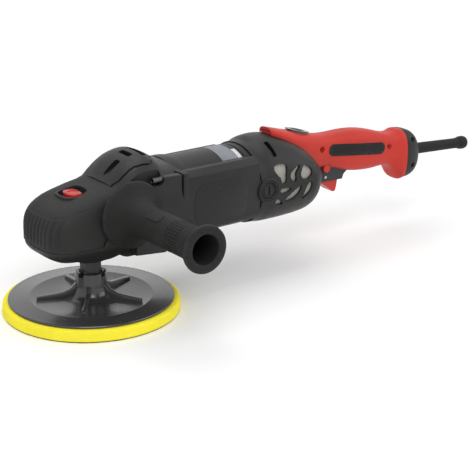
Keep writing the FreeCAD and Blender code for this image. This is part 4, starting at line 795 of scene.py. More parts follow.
# ------------------------------------------------------------------ head
@dataclass
class Head(Assembly):
    """The ribbed rubber cover over the gear case, with the spindle lock's button."""

    nose: float = 62.0
    half: float = 42.0
    foot: float = 80.0
    back: float = -10.0
    lean: float = 113.0
    rounding: float = 5.0
    rib_pitch: float = 6.6
    rib_depth: float = 1.9
    wall: float = 2.4
    seam: float = 0.885
    seam_depth: float = 0.7
    recess_margin: float = 2.4
    tub_level: float = 118.0
    tub_depth: float = 15.0
    well_level: float = 130.8
    well_depth: float = 20.0
    bore_level: float = 112.0
    bore_depth: float = 30.0
    stroke_level: float = 122.4
    case_inset: float = 0.07
    case_draw: float = 0.09
    case_lift: float = 3.4
    button_gap: float = 0.6
    button_top: float = 126.6
    strokes: tuple[tuple[Point, Point], ...] = (
        ((-43.0, 9), (-40.6, 1)), ((-40.6, 1), (-39.5, -12)))
    crest: tuple[Point, ...] = ((-63.0, 110.5), (-59.0, 114.0), (-50.0, 118.5), (-34.0, 123.0),
                                (-8.0, 128.6), (14.0, 132.6))

    def build(self) -> None:
        """Build the cover, the gear case and the button."""
        self.build_cover()
        self.build_case()
        self.build_button()

    def crest_height(self, x: float) -> float:
        """Find the height of the cover's top line.

        Args:
            x: A place along the tool in mm.

        Returns:
            The height there in mm.
        """
        for (x0, z0), (x1, z1) in zip(self.crest, self.crest[1:]):
            if x <= x1:
                return z0 + (z1 - z0) * (x - x0) / (x1 - x0)
        return self.crest[-1][1]

    def fullness(self, point: Vector) -> tuple[float, float]:
        """Measure how far out a point lies in plan and in height.

        Args:
            point: The point in mm.

        Returns:
            Its share of the plan's outline and of the height, with 1 at the surface.
        """
        front = min(0.0, point.x)
        plan = ((abs(front) / self.nose) ** 4 + (abs(point.y) / self.half) ** 4) ** 0.25
        rise = max(0.0, point.z - self.foot) / (self.crest_height(point.x) - self.foot)
        return plan, rise

    def surface(self, centre: Vector, way: Vector) -> Vector:
        """Find where a ray from the cover's inside meets its outer form.

        Args:
            centre: Where the ray starts, in mm.
            way: Its direction.

        Returns:
            The meeting point in mm.
        """
        near, far = 0.0, 120.0
        for _ in range(26):
            middle = (near + far) / 2
            plan, rise = self.fullness(centre + way * middle)
            if plan ** self.rounding + rise ** self.rounding < 1:
                near = middle
            else:
                far = middle
        return centre + way * near

    def carving(self, point: Vector) -> float:
        """Measure how deep the ribs and the seam line cut.

        Args:
            point: A point of the outer form in mm.

        Returns:
            The depth there in mm.
        """
        plan, rise = self.fullness(point)
        top = max(0.0, 1 - abs(plan - self.seam) / 0.014) * smooth_step(rise, 0.5, 0.7)
        line = self.seam_depth * top * smooth_step(-point.x, 16, 26)
        below = smooth_step(plan, self.seam + 0.012, self.seam + 0.05)
        front = smooth_step(-point.x, 40, 56) * below
        wave = abs(math.sin(math.pi * point.y / self.rib_pitch))
        low = smooth_step(point.z, self.foot + 1.5, self.foot + 7)
        return line + self.rib_depth * front * low * (1 - wave)

    def cover_skin(self) -> bmesh.types.BMesh:
        """Build the cover's skin from rays out of its middle, and thicken it inwards.

        Returns:
            The skin, open at its foot and its back.
        """
        centre = Vector((self.back, 0.0, self.foot))
        rows, columns = 96, 240
        bm = bmesh.new()
        grid = []
        for r in range(rows + 1):
            lift = math.radians(self.lean) * r / rows
            line = []
            for k in range(1, columns):
                turn = math.pi * (k / columns - 0.5)
                way = Vector((-math.cos(lift) * math.cos(turn), math.sin(turn),
                              math.sin(lift) * math.cos(turn)))
                point = self.surface(centre, way)
                out = Vector((way.x, way.y, way.z * 0.6)).normalized()
                line.append(bm.verts.new((point - out * self.carving(point)) * MM))
            grid.append(line)
        for first, second in zip(grid, grid[1:]):
            for k in range(columns - 2):
                bm.faces.new((first[k], second[k], second[k + 1], first[k + 1]))
        for side, column in ((-1, 0), (1, -1)):
            pole = bm.verts.new(self.surface(centre, Vector((0, side, 0))) * MM)
            for first, second in zip(grid, grid[1:]):
                bm.faces.new((first[column], second[column], pole))
        bmesh.ops.recalc_face_normals(bm, faces=bm.faces[:])
        probe = bm.faces[rows * columns // 2]
        if probe.normal.dot(probe.calc_center_median() - centre * MM) < 0:
            bmesh.ops.reverse_faces(bm, faces=bm.faces[:])
        bmesh.ops.solidify(bm, geom=bm.faces[:], thickness=self.wall * MM)
        bmesh.ops.recalc_face_normals(bm, faces=bm.faces[:])
        return bm

    def build_cover(self) -> None:
        """Build the cover with the button's recess, its hole and two sunk strokes."""
        low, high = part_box("spindle_lock_button")
        middle = (low.x + high.x) / 2 / MM
        tub = plate(self.recess(middle, self.recess_margin), self.tub_depth, "xy",
                    self.tub_level)
        well = plate(self.recess(middle, 0.0), self.well_depth, "xy", self.well_level)
        bore = plate(self.button_outline(middle, self.button_gap), self.bore_depth, "xy",
                     self.bore_level)
        lid = cut_away(self.cover_skin(), tub, operation="UNION")
        strokes = []
        for start, end in self.strokes:
            a, b = Vector((*start, 0)), Vector((*end, 0))
            side = (b - a).normalized().cross(Vector((0, 0, 1))) * 0.5
            strokes.append(plate([(a + side)[:2], (b + side)[:2], (b - side)[:2],
                                  (a - side)[:2]], 4, "xy", self.stroke_level))
        self.add("head_boot", cut_away(lid, well, bore, *strokes), "head_rubber", ["head_cover"],
                 sharp=38)

    def recess(self, middle: float, grow: float) -> list[Point]:
        """Return the outline round the button's place, wider by a margin in mm."""
        front, back, side = middle - 12.5 - grow, middle + 12.5 + grow, 13.5 + grow
        return rounded([(front + 2, -side), (back - 5, -side), (back, -side + 5),
                        (back, side - 5), (back - 5, side), (front + 2, side),
                        (front - 1, 0)], 2)

    def build_case(self) -> None:
        """Build the gear case, drawn in under the cover and rounded off round its foot."""
        bm = node_copy("gear_case")
        for vert in bm.verts:
            x, z = vert.co.x / MM, vert.co.z / MM
            if x < 12 and z > self.foot - 1:
                vert.co.z = (self.foot + (z - self.foot) * 0.8) * MM
                vert.co.x -= min(0.0, vert.co.x) * self.case_inset
                vert.co.y *= 1 - self.case_inset
            reach = math.hypot(x, vert.co.y / MM)
            low = (1 - smooth_step(z, 58, 78)) * (1 - smooth_step(x, 16, 34))
            vert.co.z += self.case_lift * low * smooth_step(reach, 25, 40) * MM
            draw = 1 - self.case_draw * low * smooth_step(reach, 25, 36)
            vert.co.x *= draw
            vert.co.y *= draw
        self.add("case_casting", bm, "case_paint", ["gear_case"], sharp=30)

    def button_outline(self, middle: float, grow: float = 0.0) -> list[Point]:
        """Return the lock button's outline, wider by a margin in mm."""
        front, back, side = middle - 7.5 - grow, middle + 7.2 + grow, 10.4 + grow
        return rounded([(front, -side), (back - 3.2, -side), (back, 3.4 - side),
                        (back, side - 3.4), (back - 3.2, side), (front, side)], 1)

    def build_button(self) -> None:
        """Build the lock's button with a dished top and a ring-shaped hollow in its foot."""
        low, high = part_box("spindle_lock_button")
        middle, foot, top = (low.x + high.x) / 2 / MM, low.z / MM, self.button_top
        body = plate(self.button_outline(middle), top - foot, "xy", (top + foot) / 2, bevel=0.8,
                     segments=3)
        dish = lathe([(0, -4), (5.2, -4), (5.6, 3), (0, 3)], 48, (middle, 0, top + 3.4))
        pin_low, pin_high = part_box("spindle_lock_pin")
        well = lathe([(2.6, -2), (4.8, -2), (4.8, 5.2), (2.6, 5.2)], 48,
                     ((pin_low.x + pin_high.x) / 2 / MM, 0, foot))
        self.add("lock_button", cut_away(body, dish, well), "red_gloss", ["spindle_lock_button"],
                 body="spindle_lock")


# ------------------------------------------------------------------ cowl
@dataclass
class Cowl(Assembly):
    """The hump over the fan, its air slots, side cheeks and flange."""

    stations: tuple[tuple[float, ...], ...] = (
        (-14.0, 44.6, 57.5, 129.0, 3.2), (2, 45.0, 56.5, 131.4, 3.2), (9, 45.2, 56, 132.4, 3.2),
        (13, 45.4, 55.8, 134.6, 3.1), (20, 45.6, 55.4, 142.0, 3.1), (28, 45.8, 55.0, 149.6, 3.0),
        (38, 45.9, 54.6, 155.2, 3.0), (51, 46.0, 54.2, 158.0, 2.9), (60, 46.1, 54.1, 155.6, 2.8),
        (68, 46.2, 54.0, 150.6, 2.6), (78, 46.4, 54.0, 145.4, 2.5), (89, 46.5, 54.0, 142.2, 2.4))
    groove: tuple[Point, ...] = (
        (9.5, 129.4), (12, 131.6), (18.2, 136.7), (24.5, 142.3), (30.3, 146.5), (36.2, 149.3),
        (44.6, 150.6), (53.0, 150.2), (55.4, 151.2), (57.0, 153.0), (61.5, 153.6))
    groove_half: float = 0.75
    groove_depth: float = 1.4
    groove_reach: float = 38.0
    groove_side: float = 31.0
    wall: float = 3.0
    cheek_outline: tuple[Point, ...] = (
        (2, 120), (60, 138.8), (81, 137.6), (81, 68), (60, 60), (2, 66))
    front_cut: tuple[Point, ...] = (
        (-60, 30), (-10.2, 30), (-10.2, 78), (11.8, 131.4), (11.8, 190), (-60, 190))
    foot_cut: tuple[Point, ...] = ((-20, 30), (26.3, 30), (26.3, 80.3), (-20, 80.3))
    boss: Point = (20.6, 108.0)
    slots: tuple[tuple[float, ...], ...] = (
        (22.0, -6.5, 145.6, 20, 8.4, 28, 10), (42, -3, 154.5, 6, 19, 10, 2),
        (54, -3, 155, 6, 32, -6, 0))
    pocket: tuple[Point, ...] = (
        (25, 139.5), (33, 142.8), (44, 145.4), (56, 145.6), (59.6, 143.6), (59.6, 131),
        (44, 131), (28, 136))
    pocket_back: tuple[Point, ...] = (
        (24, 137), (33, 141), (44, 144), (56, 144.6), (61, 143), (61, 129), (24, 131))

    def shell(self, inset: float, ends: float) -> bmesh.types.BMesh:
        """Build the hump's solid.

        Args:
            inset: How far in mm it is drawn in.
            ends: How much longer it is at each end, in mm.

        Returns:
            The solid.
        """
        rings = []
        rows = eased(self.stations, 2.0)
        for i, (x, half, low, top, power) in enumerate(rows):
            shift = -ends if i == 0 else ends if i == len(rows) - 1 else 0
            rings.append(oval(x + shift, half - inset, low + inset, top - inset, power, 3.4, 100))
        return skin(rings)

    def cheek(self, side: int) -> bmesh.types.BMesh:
        """Return the raised cheek round the side handle's boss."""
        return plate(self.cheek_outline, 9.0, "xz", side * 41.4, bevel=1.4, segments=3)

    def groove_cutter(self, side: int) -> bmesh.types.BMesh:
        """Build what sinks a line into the hump's shoulder above the cheek.

        Args:
            side: -1 for the near side, 1 for the far side.

        Returns:
            The cutter.
        """
        above, below = [], []
        for i, (x, z) in enumerate(self.groove):
            before = self.groove[max(0, i - 1)]
            after = self.groove[min(len(self.groove) - 1, i + 1)]
            way = Vector((after[0] - before[0], after[1] - before[1])).normalized()
            way *= self.groove_half
            above.append((x - way.y, z + way.x))
            below.append((x + way.y, z - way.x))
        band = plate(above + below[::-1], self.groove_reach, "xz", side * self.groove_side)
        return cut_away(band, self.shell(self.groove_depth, self.wall))

    def build(self) -> None:
        """Build the cowl, then its screws."""
        bm = cut_away(self.shell(0, 0), self.shell(self.wall, self.wall))
        flange = cut_away(plate([(82.5, 62), (82.5, 138), (89, 138), (89, 62)], 92.4, "xz",
                                bevel=1.5),
                          lathe([(0, 0), (43.6, 0), (43.6, 12), (0, 12)], 128, (80, 0, 100), "x"))
        bm = cut_away(bm, flange, self.cheek(-1), self.cheek(1), operation="UNION")
        cutters = [self.shell(self.wall, self.wall), plate(self.front_cut, 130, "xz")]
        for x, y, z, long, wide, tilt, lean in self.slots:
            slot = plate(stadium((0, 0), long, wide, min(long, wide) * 0.32), 16, "xy")
            turned_about(slot, (0, 0, 0), -tilt, "Y")
            turned_about(slot, (0, 0, 0), lean, "X")
            bmesh.ops.translate(slot, vec=Vector((x, y, z + 3)) * MM, verts=slot.verts[:])
            cutters.append(slot)
        for side in (-1, 1):
            cutters.append(self.groove_cutter(side))
            cutters.append(plate(rounded(self.pocket, 1), 16, "xz", side * 44.0))
            cutters.append(lathe([(0, 0), (9.3, 0), (9.3, 24), (0, 24)], 64,
                                 (self.boss[0], side * 30, self.boss[1]),
                                 "-y" if side < 0 else "y"))
        cutters.append(plate(self.foot_cut, 130, "xz"))
        bm = cut_away(bm, *cutters)
        for side in (-1, 1):
            merged(bm, plate(self.pocket_back, 1.4, "xz", side * 34.2))
        self.add("cowl_shell", bm, "black_plastic", ["fan_cowl"], bevel=0.5, sharp=34)
        self.build_screws()

    def build_screws(self) -> None:
        """Build the flange screws; the upper two have long heads in the pockets."""
        head = [(0, 0), (1.2, 0), (1.2, 1.6), (2.1, 1.6), (2.5, 1.2), (2.5, 0.3), (2.8, 0),
                (2.8, 12), (2.2, 12.4), (2.2, 28), (0, 28)]
        parts = []
        for across in (-1, 1):
            parts.append(lathe(head, 32, (48.5, across * 41.0, 135.6), "x"))
            parts.append(lathe([(0, 0), (2, 0), (2, 1.8), (3.2, 1.8), (3.6, 1.4), (3.6, 5),
                                (2.2, 5), (2.2, 16.5), (0, 16.5)], 32,
                               (77.5, across * 40.7, 62.7), "x"))
        self.add("cowl_screws", merged(*parts), "dull_screw", ["housing_screws"])


# ------------------------------------------------------------------ motor housing
@dataclass
class MotorHousing(Assembly):
    """The barrel round the motor, with side slabs, a blank label and a rating plate."""

    radius: float = 45.5
    axis: float = 100.0
    front: float = 89.0
    back: float = 182.0
    flat: float = 44.4
    bore: float = 42.2
    slab_front: float = 83.0
    lowered: float = 0.07
    far_drop: float = 3.0

    def slab(self, side: int) -> bmesh.types.BMesh:
        """Build the squared slab on one side of the barrel.

        Args:
            side: -1 for the near side, 1 for the far side.

        Returns:
            The slab.
        """
        drop = self.far_drop if side > 0 else 0.0
        outline = [(side * y, z) for y, z in ((24, 138 - drop), (35.5, 139.6 - drop),
                                              (43.6, 134.0 - drop), (44.6, 127), (44.6, 76),
                                              (42.6, 71), (32, 66), (24, 70))]
        end = self.back - 2
        return plate(outline, end - self.slab_front, "yz", (end + self.slab_front) / 2,
                     bevel=1.0, segments=3)

    def wrap(self, start: float, end: float, low: float, high: float, lift: float,
             thick: float = 0.5) -> bmesh.types.BMesh:
        """Return a thin plate laid round the barrel.

        Args:
            start: Its first place along the barrel in mm.
            end: Its last place.
            low: The angle in degrees from the top, towards the near side, where it starts.
            high: The angle where it ends.
            lift: How far in mm it stands off the barrel.
            thick: How far it reaches inwards.

        Returns:
            The closed plate.
        """
        outer, inner = self.radius + lift, self.radius + lift - thick
        outline = arc((0, self.axis), outer, 90 - low, 90 - high, 16)
        outline += arc((0, self.axis), inner, 90 - high, 90 - low, 16)
        outline = [(-y, z) for y, z in outline]
        return plate(outline, end - start, "yz", (start + end) / 2)

    def build(self) -> None:
        """Build the housing and what is stuck on it."""
        shoulder = [(self.bore, self.front - 6), (self.radius + 2.6, self.front - 6),
                    (self.radius + 2.6, self.front + 3), (self.radius + 1.4, self.front + 9),
                    (self.radius, self.front + 16), (self.radius, 172.6),
                    (self.radius - 0.9, 173.0), (self.radius - 0.9, 174.4),
                    (self.radius, 174.8), (self.radius, self.back - 0.6),
                    (self.radius - 0.7, self.back), (self.bore, self.back)]
        barrel = lathe(shoulder, 160, (0, 0, self.axis), "x")
        for vert in barrel.verts:
            vert.co.y = min(self.flat, max(-self.flat, vert.co.y / MM)) * MM
        hollow = lathe([(0, 70), (self.bore, 70), (self.bore, 200), (0, 200)], 160,
                       (0, 0, self.axis), "x")
        shell = cut_away(barrel, self.slab(-1), self.slab(1), operation="UNION")
        shell = merged(cut_away(shell, hollow), self.flange_ring())
        self.flatten(shell)
        self.add("housing_barrel", shell, "black_plastic", ["motor_housing"], sharp=34)
        self.build_label()
        self.build_plates()

    def flatten(self, bm: bmesh.types.BMesh) -> bmesh.types.BMesh:
        """Make a piece of the barrel a little lower than it is wide.

        Args:
            bm: The piece, which is changed.

        Returns:
            The same piece.
        """
        for vert in bm.verts:
            vert.co.z += (self.axis * MM - vert.co.z) * self.lowered
        return bm

    def flange_ring(self) -> bmesh.types.BMesh:
        """Return the housing's flange ring, which meets the cowl."""
        return lathe([(self.bore, self.front), (46.4, self.front), (46.4, self.front + 5),
                      (self.bore, self.front + 5)], 128, (0, 0, self.axis), "x")

    def build_label(self) -> None:
        """Build the blank label on the near slab."""
        panel = plate(stadium((130, 100), 66, 44, 14, steps=8), 0.7, "xz", -44.6, bevel=0.2)
        self.add("side_label", panel, "label_black")

    def build_plates(self) -> None:
        """Build the blank rating plate on top and its pale end strip."""
        self.add("rating_plate", self.flatten(self.wrap(146, 165.4, -16, 46, 0.25)), "plate_silver")
        self.add("rating_strip", self.flatten(self.wrap(165.9, 170.8, 14, 47, 0.3)), "plate_white")


# ------------------------------------------------------------------ rear cover
@dataclass
class RearCover(Assembly):
    """The drum behind the motor, with swirled air windows, brush caps and a top slot."""

    flat: float = 45.2
    wall: float = 2.6
    axis: float = 100.0
    cap_x: float = 191.0
    slot_x: float = 205.5
    slot_turn: float = 36.0
    stations: tuple[tuple[float, ...], ...] = (
        (182, 46.4, 43.4, 43.4), (190, 46.8, 44.0, 44.2), (198, 47.6, 45.0, 47.4),
        (214, 48.0, 45.2, 48.2), (232, 47.8, 45.0, 44.4), (245, 47.0, 44.4, 38.6),
        (257, 45.3, 42.6, 31.0), (266, 41.0, 38.0, 22.5), (272, 33.0, 29.0, 15.0),
        (276, 22.0, 18.0, 8.0))
    windows: tuple[tuple[Point, ...], ...] = (
        ((200.2, 121.4), (202.4, 124.4), (216.6, 124.4), (213.3, 115.3), (214.9, 105.0),
         (208.3, 105.0), (208.0, 110.9), (201.3, 117.0)),
        ((231.8, 120.5), (220.0, 113.6), (222.8, 106.0), (228.6, 103.8), (227.3, 112.8),
         (233.4, 117.3)),
        ((241.2, 119.0), (249.4, 113.6), (248.2, 106.6), (241.0, 103.6), (235.0, 108.0),
         (236.0, 114.8)),
        ((208.0, 98.8), (222.4, 97.4), (216.6, 94.0), (207.6, 94.0)),
        ((235.4, 98.6), (232.6, 90.4), (224.0, 86.0), (213.6, 84.0), (216.0, 87.8),
         (227.1, 93.6)),
        ((249.0, 99.2), (250.2, 93.4), (244.0, 86.2), (235.8, 81.6), (241.4, 90.3),
         (244.5, 97.2)),
        ((203.1, 89.2), (211.6, 81.0), (199.8, 82.8)))

    def drum(self, inset: float) -> bmesh.types.BMesh:
        """Build the drum's solid with its flat sides.

        Args:
            inset: How far in mm it is drawn in.

        Returns:
            The solid.
        """
        end = self.stations[-1][0]
        rings = []
        for x, half, below, above in eased(self.stations, 2.0):
            shift = -inset * max(0.0, x - end + 43) / 43 - (3 if inset and x < 183 else 0)
            ring = oval(x + shift, half - inset, self.axis - below + inset,
                        self.axis + above - inset, 2.1, middle=self.axis, count=180)
            reach = self.flat - inset
            for point in ring:
                point.y = min(reach, max(-reach, point.y))
            rings.append(ring)
        return skin(rings)

    def build(self) -> None:
        """Build the cover and what is fixed in it."""
        cutters = [self.drum(self.wall)]
        for outline in self.windows:
            cutters.append(plate(rounded(self.grown(outline), 2), 140, "xz", 0.0))
        for turn in (-1, 1):
            slot = plate(stadium((self.slot_x, 0), 5.6, 21, 1.6), 12, "xy", 148.5)
            cutters.append(turned_about(slot, (self.slot_x, 0, self.axis),
                                        -turn * self.slot_turn, "X"))
            cutters.append(lathe([(0, 0), (8.7, 0), (8.7, 16), (0, 16)], 64,
                                 (self.cap_x, turn * 38, self.axis), "y" if turn > 0 else "-y"))
        bm = cut_away(self.drum(0), *cutters)
        for turn in (-1, 1):
            bm = merged(bm, self.cap_ring(turn))
        self.add("cover_drum", bm, "black_plastic", ["rear_cover"], bevel=0.45, sharp=36)
        self.build_mesh()
        self.build_caps()

    def grown(self, outline: Sequence[Point], margin: float = 1.3) -> list[Point]:
        """Widen an outline, to make up for its rounding.

        Args:
            outline: The outline's corners in mm.
            margin: How far in mm each corner moves out.

        Returns:
            The wider outline.
        """
        middle = Vector((sum(x for x, _ in outline), sum(z for _, z in outline))) / len(outline)
        points = []
        for x, z in outline:
            out = Vector((x, z)) - middle
            points.append(tuple(Vector((x, z)) + out.normalized() * margin))
        return points

    def build_mesh(self) -> None:
        """Build the dust mesh behind the windows."""
        gap = self.wall + 0.3
        ends = [plate([(x, 40), (x + 80, 40), (x + 80, 160), (x, 160)], 120, "xz")
                for x in (119.5, 262)]
        ends.append(plate([(150, 129), (300, 129), (300, 160), (150, 160)], 120, "xz"))
        mesh = cut_away(self.drum(gap), self.drum(gap + 1.0), *ends)
        self.add("dust_mesh", mesh, "vent_mesh", ["vent_mesh"], sharp=30)

    def cap_ring(self, side: int) -> bmesh.types.BMesh:
        """Build the raised rings round one brush cap.

        Args:
            side: -1 for the near side, 1 for the far side.

        Returns:
            The rings.
        """
        profile = [(8.9, -1.4), (8.9, 1.0), (9.3, 1.4), (10.2, 1.4), (10.6, 0.8), (11.2, 0.8),
                   (11.6, 1.5), (12.6, 1.5), (13.4, 0.9), (13.8, -1.4)]
        return lathe(profile, 96, (self.cap_x, side * self.flat, self.axis),
                     "y" if side > 0 else "-y")

    def build_caps(self) -> None:
        """Build the two slotted brush caps."""
        parts = []
        for side in (-1, 1):
            cap = lathe([(0, -7), (8.3, -7), (8.4, 0.2), (7.9, 0.7), (7.2, 0.7), (6.9, 0.1),
                         (6.4, 0.1), (6.1, 0.6), (0, 0.6)], 72,
                        (self.cap_x, side * self.flat, self.axis), "y" if side > 0 else "-y")
            slot = plate(stadium((self.cap_x, self.axis), 1.9, 9.6, 0.5), 3, "xz",
                         side * (self.flat + 0.9))
            parts.append(cut_away(cap, slot))
        self.add("slotted_caps", merged(*parts), "cap_black", ["brush_caps"], bevel=0.2)


# ------------------------------------------------------------------ side handle
@dataclass
class SideHandle(Assembly):
    """The rubbery side handle with its shield, pits, rings and hollow lip."""

    x: float = 20.6
    z: float = 108.0
    start: float = 46.0
    end: float = 125.0
    pit_start: float = 80.3
    pit_step: float = 3.6
    pit_rows: int = 6
    facets: int = 64

    def build(self) -> None:
        """Build the handle from shield to lip."""
        end = self.end
        profile = [(4.3, 0), (9, 0), (30, 0.2), (33.3, 0.6), (34.3, 1.8), (34.0, 3.4),
                   (32.4, 5.0), (28.0, 7.6), (23.6, 11.2), (20.4, 15.6), (18.4, 20.4),
                   (17.3, 25.4), (16.7, 30.0)]
        profile += [(16.4, 33 + 4 * i) for i in range(12)]
        for i in range(self.pit_rows):
            profile += [(16.1, 79.4 + self.pit_step * i), (16.1, 81.2 + self.pit_step * i)]
        for i in range(3):
            foot = 101.6 + 4.2 * i
            profile += [(16.3 + 0.4 * i, foot), (15.7 + 0.4 * i, foot + 0.7),
                        (15.7 + 0.4 * i, foot + 1.6), (16.8 + 0.5 * i, foot + 2.4)]
        profile += [(18.6, 114.0), (20.8, 116.4), (22.8, 119.2), (23.4, 121.4), (23.0, 123.6),
                    (21.6, end - 0.3), (19.0, end), (16.4, end - 0.3), (14.8, end - 1.6),
                    (14.2, end - 4), (14.2, 70), (4.3, 69)]
        bm = lathe(profile, self.facets, (self.x, -self.start, self.z), "-y")
        self.press_pits(bm)
        self.add("side_grip", bm, "grip_rubber", ["side_handle_grip"], sharp=36)
        self.add("grip_oval", self.oval_mark(), "grip_rubber")

    def press_pits(self, bm: bmesh.types.BMesh) -> None:
        """Press rows of small square pits into the tube near its lip.

        Args:
            bm: The tube, which is changed.
        """
        chosen = []
        for face in bm.faces:
            middle = face.calc_center_median() / MM
            along = -middle.y - self.start
            across = Vector((middle.x - self.x, middle.z - self.z))
            angle = math.degrees(math.atan2(across.y, across.x)) % 360
            turn = round(angle * self.facets / 360 - 0.5)
            row = (along - self.pit_start) / self.pit_step
            in_row = abs(row - round(row)) < 0.1 and -0.2 < row < self.pit_rows - 0.8
            if in_row and across.length > 15 and turn % 2 == 0:
                chosen.append(face)
        bmesh.ops.inset_individual(bm, faces=chosen, thickness=0.12 * MM, depth=-0.7 * MM)

    def oval_mark(self) -> bmesh.types.BMesh:
        """Build the plain oval pad low on the tube's upper side.

        Returns:
            The pad.
        """
        outline = stadium((self.x, -self.start - 52), 11, 24, 5.4, steps=8)
        bar = plate(outline, 3, "xy", self.z + 15.4, bevel=0.6)
        return turned_about(bar, (self.x, 0, self.z), -28, "Y")


# ------------------------------------------------------------------ rear handle
@dataclass
class RearHandle(Assembly):
    """The red handle's fittings: end cap, deep dark screws, side pads and the dial."""

    shell_screws: tuple[Point, ...] = ((287.0, 121.5), (388.0, 108.0))
    cap_screws: tuple[float, ...] = (79.5, 109.5)
    cap_screw_seat: float = 12.0
    cap_screw_side: float = 8.5
    cap_recesses: tuple[float, ...] = (80.5, 110.5)
    recess_seat: float = 9.5
    recess_side: float = 17.0
    recess_turn: float = 58.0
    dial_place: Place = (264.0, 0.0, 143.2)
    dial_tilt: float = 14.5
    dial_radius: float = 7.75
    dial_notches: int = 18

    def build(self) -> None:
        """Build the end cap, the screws, the pads and the dial."""
        self.build_cap()
        self.build_screws()
        self.build_pads()
        self.build_dial()

    def build_cap(self) -> None:
        """Build the end cap with the screws' recesses opened out through its shoulders."""
        low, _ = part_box("end_cap")
        cutters = []
        for side in (-1, 1):
            for z in self.cap_recesses:
                place = (low.x / MM + self.recess_seat, side * self.recess_side, z)
                drill = lathe([(0, -6), (3.1, -6), (3.1, 16), (0, 16)], 40, place, "x")
                cutters.append(turned_about(drill, place, side * self.recess_turn, "Z"))
        self.add("cap_shell", cut_away(node_copy("end_cap"), *cutters), "black_plastic",
                 ["end_cap"], sharp=30)

    def build_screws(self) -> None:
        """Build the handle's screws with star sockets."""
        parts = []
        for x, z in self.shell_screws:
            head = lathe([(0, 0), (1.7, 0), (1.7, 25), (3.1, 25), (3.1, 26.6), (2.7, 27.2),
                          (0, 27.2)], 40, (x, 10.6, z), "-y")
            star = merged(*[turned_about(plate(stadium((x, z), 3.2, 1.0, 0.2), 3, "xz", -16.8),
                                         (x, 0, z), turn, "Y") for turn in (0, 90)])
            parts.append(cut_away(head, star))
        low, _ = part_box("end_cap")
        seat = low.x / MM + self.cap_screw_seat
        for y in (-self.cap_screw_side, self.cap_screw_side):
            for z in self.cap_screws:
                parts.append(lathe([(0, -16), (1.7, -16), (1.7, 0), (3.1, 0), (3.1, 1.6),
                                    (2.7, 2.2), (1.2, 2.2), (1.0, 1.0), (0, 1.0)], 40,
                                   (seat, y, z), "x"))
        self.add("dark_screws", merged(*parts), "black_screw", ["handle_screws"])

    def build_pads(self) -> None:
        """Build the rubber side pads from the let-in ones."""
        self.add("side_pads", node_copy("grip_inserts"), "grip_rubber", ["grip_inserts"],
                 sharp=30)

    def build_dial(self) -> None:
        """Build the speed dial with finger notches and a pointer line."""
        profile = [(0, -7.0), (2, -7.0), (2, -3.0), (7.6, -3.0), (7.6, 0.9), (7.1, 1.4),
                   (5.6, 1.4), (5.2, 0.9), (0, 0.9)]
        bm = lathe(profile, 90)
        notches = []
        for i in range(self.dial_notches):
            turn = math.tau * i / self.dial_notches
            notches.append(lathe([(0, -4), (0.55, -4), (0.55, 4), (0, 4)], 10,
                                 (self.dial_radius * math.cos(turn),
                                  self.dial_radius * math.sin(turn), 0)))
        bm = cut_away(bm, merged(*notches), plate(stadium((3.4, 0), 3.6, 0.7, 0.3), 2, "xy", 1.4))
        turned_about(bm, (0, 0, 0), self.dial_tilt, "Y")
        bmesh.ops.translate(bm, vec=Vector(self.dial_place) * MM, verts=bm.verts[:])
        self.add("notched_dial", bm, "grey_plastic", ["speed_dial"], body="dial")


CARRIED = {
    "hub_insert": "machined_steel", "crown_gear": "gear_steel", "bevel_pinion": "gear_steel",
    "spindle_seal": "seal_rubber", "bearing_retainer_plate": "machined_steel",
    "retainer_screws": "black_screw", "bearing_bracket": "cast_aluminium",
    "bracket_screws": "black_screw", "armature_shaft": "machined_steel",
    "pinion_nut": "machined_steel", "cooling_fan": "fan_plastic", "armature_core": "lamination",
    "armature_windings": "copper", "commutator": "copper", "stator_core": "lamination",
    "field_coils": "copper", "brush_holders": "cast_aluminium", "carbon_brushes": "carbon",
    "brush_springs": "machined_steel", "rear_bearing_seat": "grey_plastic",
    "trigger_pin": "machined_steel", "switch_body": "black_plastic",
    "switch_plunger": "black_plastic", "speed_control": "black_plastic",
    "spindle_lock_pin": "machined_steel", "spindle_lock_spring": "machined_steel",
    "side_handle_stud": "machined_steel",
    "handle_shell_near": "red_plastic", "handle_shell_far": "red_plastic",
    "cord_guard": "grip_rubber", "dial_bezel": "bezel_gloss",
    "switch_surround": "grey_plastic", "trigger": "red_gloss", "lock_on_button": "red_gloss",
}


def dress_carried() -> None:
    """Give every CAD node that still shows its finish."""
    finishes = dict(CARRIED)
    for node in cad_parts:
        if node.endswith(("_inner_ring", "_outer_ring")):
            finishes[node] = "machined_steel"
    for node, finish in finishes.items():
        FINISH[finish].dress(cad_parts[node])


